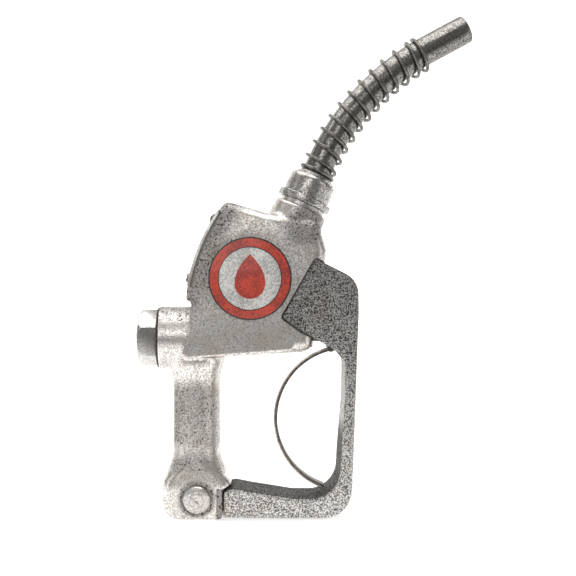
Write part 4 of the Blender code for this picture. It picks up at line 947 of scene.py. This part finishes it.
# %% Badge
BADGE = Vector((45.0, 0, 198.2))
disc = [(0, -25.9), (33.5, -25.9), (34, -25.7), (34, -25.3), (0, -25.3)]
badge = turned("badge", disc, across(BADGE.x, BADGE.z), 128)


def badge_print():
    finish = Finish("worn_badge_print", 0.34, 0.0, 0.25)
    wear = finish.noise(3.2, 5, 0.65)
    grime = finish.noise(15, 5, 0.65)
    scuff = finish.noise(1.1, 3, 0.6)
    x = finish.part(0) - BADGE.x
    z = finish.part(2) - BADGE.z
    radius = (x * x + z * z).sign("SQRT") + (wear - 0.5) * 0.5
    up = z + 4.0
    climb = up.sign("MAXIMUM", 0.0) / 24.0
    over_tip = climb.step(0.985, 1.0) * 40.0
    narrow = (1 - climb * climb).sign("MAXIMUM", 0.02)
    across_drop = x / narrow
    below = up.sign("MINIMUM", 0.0)
    drop = (across_drop * across_drop + below * below).sign("SQRT") + (wear - 0.5) * 0.6 + over_tip
    faded = (grime * 0.35 + scuff * 0.65).step(0.42, 0.6)
    field = finish.blend(faded, (0.70, 0.69, 0.665), (0.33, 0.32, 0.30))
    dulled = (grime * 0.4 + scuff * 0.6).step(0.4, 0.6)
    red = finish.blend(dulled, (0.60, 0.065, 0.035), (0.24, 0.03, 0.024))
    colour = finish.blend((drop - 12.4).step(0, 0.4), red, field)
    colour = finish.blend((radius - 25.2).step(0, 0.25), colour, (0.02, 0.02, 0.02))
    colour = finish.blend((radius - 26.0).step(0, 0.25), colour, red)
    colour = finish.blend((radius - 32.7).step(0, 0.25), colour, (0.02, 0.02, 0.02))
    chips = (wear * 0.6 + scuff * 0.4).step(0.66, 0.7)
    colour = finish.blend(chips, colour, (0.2, 0.19, 0.18))
    return finish.paint(colour, 0.32 + grime * 0.2, wear + chips * 2.0, 0.03)


finished(badge, "nozzle_body", badge_print(), "enamel", "badge")

# %% [markdown]
# ## Lever, strap and pin
#
# The fingers pull a flat steel strap, bent to an arc and riveted under the lever's arm. The arm turns
# on a headed pin between the guard's cheeks and pushes the valve's stem. The strap was sheared from
# sheet and then rumbled, so its long edges are only just rounded.

# %% The lever's arm
STRAP_AT, STRAP_R, STRAP_THICK = Vector((126.1, 81.0)), 60.0, 3.0
STRAP_START, STRAP_SWEEP = 93.5, 157.5


def strap_point(radius, degrees):
    angle = radians(degrees)
    return (STRAP_AT.x + radius * cos(angle), STRAP_AT.y + radius * sin(angle))


under = STRAP_R + STRAP_THICK / 2 + 0.3
heel = [strap_point(under, STRAP_START + 11.3 * i / 8) for i in range(9)]
pin_x, pin_z = lever_pin_at.x, lever_pin_at.z
arm_side = [(108.8, heel[-1][1] + 0.5), (108.8, VALVE_Z + 7), (pin_x - 5.4, pin_z), (pin_x + 5.4, pin_z)]
arm_side += [(pin_x + 8.4, VALVE_Z + 7), (heel[0][0], heel[0][1] + 4.2)]
arm_side += [p for p in heel if p[0] > 108.8]
arm = prism("lever_arm", arm_side, -6, 6)
hub = soft_corners([(0, -8), (7.5, -8), (7.5, 8), (0, 8)], 0.8)
machine(arm, turned("hub", hub, pin_frame), "UNION")
settle(arm, [("BEVEL", {"width": 0.5 * MM, "segments": 3, "angle_limit": radians(38)})])
machine(arm, turned("pin_hole", [(0, -20), (4.15, -20), (4.15, 20), (0, 20)], pin_frame))
rivet_places = []
for degrees in (96.2, 102.6):
    x, z = strap_point(STRAP_R - STRAP_THICK / 2, degrees)
    rivet_places.append((Vector((x, 0, z)), Vector((cos(radians(degrees)), 0, sin(radians(degrees))))))
drill(arm, rivet_places, RIVET_HOLE_R, 0, 6.2)
finished(arm, "lever", wire_steel, "dark_steel", "lever_arm")

# %% The strap's finish: a painted highlight along its outer edge, brown steel elsewhere
def strap_skin():
    finish = Finish("strap_steel_painted_highlight", 0.34, 1.0)
    x, z = finish.part(0) - STRAP_AT.x, finish.part(2) - STRAP_AT.y
    reach = (x * x + z * z).sign("SQRT") + (finish.noise(9, 3, 0.6) - 0.5) * 0.8
    # Painted highlight: the outer face and the outer rim of the sides are made pale, where the bevel catches
    # light.
    painted_highlight = (reach - STRAP_R).step(0.3, 0.9)
    mottle = finish.noise(2.5, 4, 0.6)
    brown = finish.blend(mottle.step(0.35, 0.65), (0.10, 0.082, 0.07), (0.20, 0.165, 0.14))
    bright = finish.blend(mottle.step(0.35, 0.65), (0.42, 0.39, 0.36), (0.66, 0.63, 0.59))
    return finish.paint(finish.blend(painted_highlight, brown, bright), 0.42 - painted_highlight * 0.14, mottle, 0.04)


strap_steel = strap_skin()
print("strap finish:", strap_steel.name)

# %% The strap, its rivets and the pin
steps = 90
sweep = [STRAP_START + STRAP_SWEEP * i / steps for i in range(steps + 1)]
half = STRAP_THICK / 2
band = [strap_point(STRAP_R + half, a) for a in sweep]
band += [strap_point(STRAP_R - half, a) for a in sweep[::-1]]
strap = prism("trigger_strap", band, -6.5, 6.5)
settle(strap, [("BEVEL", {"width": 0.55 * MM, "segments": 3, "angle_limit": radians(50)})])
drill(strap, rivet_places, RIVET_HOLE_R, -5, 5)
finished(strap, "lever", strap_steel, "trigger_steel", "trigger_strap", sharp=40)
rivet_profile = [(0, -1.5), (1.2, -1.45), (2.1, -1.15), (2.8, -0.35), (1.8, -0.3), (1.8, 5.9), (0, 5.9)]
rivet = turned("rivet", rivet_profile, upright, 32)
rivets = set_fasteners("strap_rivets", rivet, rivet_places, wire_steel)
finished(rivets, "lever", wire_steel, "dark_steel", "strap_rivet_1", "strap_rivet_2")
pin_profile = [
    (0, -18), (3.4, -18), (4, -17.4), (4, 18.8), (7, 18.8), (7, 21.0), (6.5, 21.8), (5.4, 22.3), (0, 22.3),
]
pin = turned("lever_pin", pin_profile, pin_frame, 48)
machine(pin, block("slot", (pin_x - 10, 21.1, pin_z - 0.7), (pin_x + 10, 30, pin_z + 0.7)))
finished(pin, "nozzle_body", wire_steel, "dark_steel", "lever_pin")

# %% [markdown]
# ## Spout, nut and lock ring
#
# The spout is drawn tube with one long bend. It keeps its round section, and is held in the neck by a
# bell-shaped nut over a flange. Below the nut a clamp ring has a step for a pin wrench. Its corners
# are turned soft, and both have the scuffed finish that wrenches leave.

# %% The spout's centre line
BEND_R, TUBE_R, WALL = 210.0, 11.9, 1.4
base_end, tip_lean = 38.0, radians(28.2)
arc_length = BEND_R * (LEAN - tip_lean)
spout_length = base_end + arc_length + 35.0


def spout_at(along):
    """The point and direction of the spout's centre line, this far from the neck's face, in mm."""
    bend_start = neck_face + neck_way * base_end
    if along <= base_end:
        return neck_face + neck_way * along, neck_way
    lean = LEAN - min(along - base_end, arc_length) / BEND_R
    way = Vector((cos(lean), 0, sin(lean)))
    centre = bend_start + Vector((sin(LEAN), 0, -cos(LEAN))) * BEND_R
    point = centre + Vector((-sin(lean), 0, cos(lean))) * BEND_R
    return point + way * max(0.0, along - base_end - arc_length), way


def swept(name, rings, facets=96):
    """A closed skin through rings round the centre line. Each ring is (distance along, radius)."""
    angles = [2 * pi * i / facets for i in range(facets)]
    across_y = Vector((0, 1, 0))
    outlines = []
    for along, radius in rings:
        at, way = spout_at(along)
        side = way.cross(across_y)
        outlines.append([(at + (across_y * cos(a) + side * sin(a)) * radius) * MM for a in angles])
    return skinned(name, outlines, capped=False)


def even(low, high, count):
    return [low + (high - low) * i / count for i in range(count + 1)]


outside = [(a, TUBE_R) for a in even(-8, spout_length - 1.6, 60)]
rim = [(spout_length - 0.9, TUBE_R - 0.1), (spout_length - 0.25, TUBE_R - 0.4), (spout_length, TUBE_R - 0.75)]
inside = [(a, TUBE_R - WALL) for a in even(spout_length - 0.3, -8, 60)]
spout = swept("spout_tube", outside + rim + inside)
finished(spout, "nozzle_body", plated, "spout_steel", "spout_tube")

# %% Nut, lock ring, flange and gasket
nut_profile = [
    (16.7, 9.5), (19.5, 9.5), (20.0, 10.0), (20.0, 22.5), (19.8, 24.2), (19.2, 25.6), (17.9, 27.0),
    (16.2, 28.5), (15.1, 29.7), (14.5, 30.5), (13.8, 31.0), (12.2, 31.0), (12.2, 22.3), (16.7, 22.3),
]
bell = turned("spout_nut", nut_profile, neck, 128)
finished(bell, "nozzle_body", nut_skin, "polished_casting", "spout_nut")
ring_profile = soft_corners([(16.7, 3.8), (22.9, 3.8), (22.9, 9.2), (16.7, 9.2), (16.7, 3.8)], 0.7)
lock = turned("lock_ring", ring_profile[:-1], neck, 128)
notch = [(19.5, 7.4), (28, 7.4), (28, 12), (19.5, 12)]
wrench_step = turned("wrench_step", notch, neck, 128)
keep_side = block("keep", (0.5, -40, 0), (40, -2, 20))
keep_side.data.transform(neck)
machine(wrench_step, keep_side, "INTERSECT")
machine(lock, wrench_step)
finished(lock, "nozzle_body", nut_skin, "polished_casting", "lock_ring")
flange = turned("spout_flange", [(12.2, 18.6), (16, 18.6), (16, 22), (12.2, 22)], neck)
finished(flange, "nozzle_body", plated, "spout_steel", "spout_flange")
gasket = turned("spout_gasket", [(12.2, 17.3), (16, 17.3), (16, 18.3), (12.2, 18.3)], neck)
finished(gasket, "nozzle_body", rubber, "rubber", "spout_gasket")

# %% [markdown]
# ## The anchor spring
#
# A loose coil hooks the spout in a tank's filler neck. It is wound here the way it is wound on a
# mandrel: a node tree takes the spout's centre line, walks along it, and steps out by a radius at an
# angle that grows with the distance. The first and last turns lie closed. The coil is looser than the
# spout, so it sags a little towards the ground.

# %% A tree that winds a coil on a path
wind_tree, take, add, end = geometry_tree(
    "wind_coil",
    [
        ("Radius", "NodeSocketFloat", 0.0143), ("Wire", "NodeSocketFloat", 0.00145),
        ("Turns", "NodeSocketFloat", 12.5), ("Closed", "NodeSocketFloat", 0.75),
        ("Closed Share", "NodeSocketFloat", 0.016), ("Steps", "NodeSocketInt", 500),
        ("Sag", "NodeSocketFloat", 0.0005), ("Finish", "NodeSocketMaterial", None),
    ],
)


def value(operation, *terms):
    return add("ShaderNodeMath", dict(enumerate(terms)), operation=operation).outputs[0]


def arrow(operation, *terms):
    made = add("ShaderNodeVectorMath", dict(enumerate(terms[:2])), operation=operation)
    if operation == "SCALE":
        made.inputs["Scale"].default_value = 0
        wind_tree.links.new(terms[2], made.inputs["Scale"])
    return made.outputs[0]


line = add("GeometryNodeMeshToCurve", {"Mesh": take["Geometry"]})
walk = add("GeometryNodeResampleCurve", {"Curve": line.outputs[0], "Count": take["Steps"]})
factor = add("GeometryNodeSplineParameter").outputs["Factor"]
share = take["Closed Share"]
far = value("SUBTRACT", 1.0, share)
first = value("MINIMUM", value("DIVIDE", factor, share), 1.0)
last = value("MAXIMUM", value("DIVIDE", value("SUBTRACT", factor, far), share), 0.0)
open_part = value("DIVIDE", value("SUBTRACT", factor, share), value("SUBTRACT", far, share))
clamped = value("MINIMUM", value("MAXIMUM", open_part, 0.0), 1.0)
open_turns = value("SUBTRACT", take["Turns"], value("MULTIPLY", take["Closed"], 2.0))
turns = value("MULTIPLY", value("ADD", first, last), take["Closed"])
turns = value("ADD", turns, value("MULTIPLY", clamped, open_turns))
angle = value("SUBTRACT", -pi / 2, value("MULTIPLY", turns, 2 * pi))
tangent = add("GeometryNodeInputTangent").outputs[0]
side = arrow("CROSS_PRODUCT", tangent, (0, 1, 0))
wire_y = add("ShaderNodeCombineXYZ", {"Y": value("COSINE", angle)}).outputs[0]
spoke = arrow("ADD", wire_y, arrow("SCALE", side, (0, 0, 0), value("SINE", angle)))
droop = add("ShaderNodeCombineXYZ", {"Z": value("MULTIPLY", take["Sag"], -1.0)}).outputs[0]
offset = arrow("ADD", arrow("SCALE", spoke, (0, 0, 0), take["Radius"]), droop)
wound = add("GeometryNodeSetPosition", {"Geometry": walk.outputs[0], "Offset": offset})
section = add("GeometryNodeCurvePrimitiveCircle", {"Resolution": 14, "Radius": take["Wire"]})
wire = add(
    "GeometryNodeCurveToMesh",
    {"Curve": wound.outputs[0], "Profile Curve": section.outputs[0], "Fill Caps": True},
)
real = add("GeometryNodeRealizeInstances", {"Geometry": wire.outputs[0]})
dressed = add("GeometryNodeSetMaterial", {"Geometry": real.outputs[0], "Material": take["Finish"]})
end(dressed.outputs[0])
print("coil tree:", len(wind_tree.nodes), "nodes")

# %% Wind the anchor spring
NUT_END, NUT_GAP, ANCHOR_WIRE_R = 31, 0.3, 1.45
CLOSED_TURNS, CLOSED_PITCH, PATH_STEPS = 0.75, 3.2, 200
coil_start, coil_length = NUT_END + NUT_GAP + ANCHOR_WIRE_R, 135.0
closed_share = CLOSED_TURNS * CLOSED_PITCH / coil_length
path = bpy.data.meshes.new("anchor_spring")
points = [tuple(spout_at(a)[0] * MM) for a in even(coil_start, coil_start + coil_length, PATH_STEPS)]
path.from_pydata(points, [(i, i + 1) for i in range(PATH_STEPS)], [])
anchor = placed("anchor_spring", path)
winding = {"Closed Share": closed_share, "Steps": 900, "Finish": wire_steel, "Sag": 0.0008}
grown(anchor, wind_tree, **winding)
finished(anchor, "nozzle_body", wire_steel, "dark_steel", "anchor_spring")

# %% [markdown]
# ## The two springs that work
#
# The main valve and the check valve each close on a compression spring. The same tree winds them on a
# straight line.


# %% Wind the valve springs
def working_spring(name, start, end, fixed, radius, wire, turns, closed, travel):
    """A spring between two faces, in millimetres. Its fixed end and travel are not used."""
    way = (end - start).normalized()
    low, high = start + way * wire / 2, end - way * wire / 2
    path = bpy.data.meshes.new(name)
    path.from_pydata([tuple(low * MM), tuple(high * MM)], [(0, 1)], [])
    spring = placed(name, path)
    sizes = {"Radius": radius * MM, "Wire": wire / 2 * MM, "Turns": turns, "Closed": closed}
    sizes.update({"Closed Share": closed * (wire + 0.1) / (high - low).length, "Steps": 360, "Sag": 0.0})
    grown(spring, wind_tree, Finish=wire_steel, **sizes)
    finished(spring, "nozzle_body", wire_steel, "dark_steel", name)
    fixed * MM
    1 - travel / (end - start).length
    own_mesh(spring)


VALVE_TRAVEL, CHECK_TRAVEL = 5.9, 4.0
box_low, box_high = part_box("valve_spring")
start, end = Vector((box_low[0] / MM, 0, VALVE_Z)), Vector((box_high[0] / MM, 0, VALVE_Z))
working_spring("valve_spring", start, end, start, 9.0, 2.0, 4.0, 0.6, VALVE_TRAVEL)
start, end = neck_face + neck_way * -18.9, neck_face + neck_way * -12.3
working_spring("check_spring", start, end, end, 4.0, 0.9, 3.0, 0.5, CHECK_TRAVEL)
print("main spring from", round(box_low[0] / MM, 1), "to", round(box_high[0] / MM, 1), "mm along the valve")

# %% [markdown]
# ## Inside the nozzle
#
# The valves and packing are hidden by the castings. Their CAD shapes are already right, so
# each one stays in place and only gets its proper finish.

# %% Finishes for the hidden pieces
inner_finish = {
    "valve_seat": brass, "valve_poppet": brass, "washer_retainer": brass, "check_seat": brass,
    "check_poppet": brass, "check_guide": brass, "packing_nut": plated, "inlet_strainer": brass,
    "poppet_washer": rubber, "stem_packing": rubber, "valve_stem": plated, "poppet_nut": plated,
}
for name, finish in inner_finish.items():
    node = bpy.data.objects[name]
    for slot in node.material_slots:
        slot.material = finish
print("inner pieces with new finishes:", len(inner_finish))

# %% [markdown]
# ## Floor, light and camera
#
# The set is a pale floor and backdrop. They glow behind the object, so they reach plain white without
# lamps near it, and the floor fades to grey in front. A worn metal shows what it faces: panels overhead,
# to the left and to the right give the pale edges. The flat faces show the dim room in front of them,
# and one soft panel there lifts them.


# %% Floor and backdrop
def glowing(name, colour, strength):
    """A pale sweep that glows behind the object and fades to plain grey in front of it."""
    finish = Finish(name, 0.9, 0.0)
    cloud = finish.noise(400, 2, 0.5)
    shade = finish.blend(cloud.step(0.3, 0.7), colour, tuple(c * 0.99 for c in colour))
    behind = finish.part(1).step(-620, -200)
    finish.shader.inputs["Emission Strength"].default_value = strength
    glow = finish.blend(behind, (0.06, 0.06, 0.06), shade)
    finish.tree.links.new(glow.socket, finish.shader.inputs["Emission Color"])
    return finish.paint(finish.blend(behind, (0.24, 0.24, 0.24), shade))


floor = block("floor", (-2500, -2600, -6), (2700, 1200, -1))
floor.data.materials.append(glowing("sweep_floor", (0.86, 0.86, 0.86), 0.7))
backdrop = block("backdrop", (-2500, 1195, -5), (2700, 1210, 2400))
backdrop.data.materials.append(glowing("sweep_back", (0.9, 0.9, 0.9), 1.0))


def soft_panel(name, at, aim_at, wide, tall, power, tint=(1, 1, 1)):
    lamp = bpy.data.lights.new(name, "AREA")
    lamp.shape, lamp.size, lamp.size_y = "RECTANGLE", wide * MM, tall * MM
    lamp.energy, lamp.color = power, tint
    holder = placed(name, lamp)
    holder.location = Vector(at) * MM
    holder.rotation_euler = (Vector(aim_at) - Vector(at)).to_track_quat("-Z", "Y").to_euler()


soft_panel("overhead", (0, -100, 900), (60, 0, 190), 900, 600, 4.5)
soft_panel("left_panel", (-750, -250, 380), (50, 0, 190), 400, 700, 0.9)
soft_panel("right_panel", (800, -420, 300), (80, 0, 190), 300, 600, 0.6)
soft_panel("front_fill", (-150, -900, 520), (60, 0, 190), 600, 500, 1.35)
world = bpy.data.worlds.new("room")
bpy.context.scene.world = world
world.use_nodes = True
world.node_tree.nodes["Background"].inputs["Color"].default_value = (0.42, 0.41, 0.40, 1)
world.node_tree.nodes["Background"].inputs["Strength"].default_value = 0.62
bpy.context.scene.view_settings.view_transform = "Standard"

# %% Camera
lens = bpy.data.cameras.new("camera")
lens.sensor_width, lens.lens, lens.shift_x = 36.0, 54.8, 0.045
lens.clip_start, lens.clip_end = 0.01, 20
camera = placed("camera", lens)
camera.location = Vector((54.9, -740, 190.5)) * MM
camera.rotation_euler = (radians(90), 0, 0)
bpy.context.scene.camera = camera
print("camera at", tuple(round(c / MM) for c in camera.location), "mm")
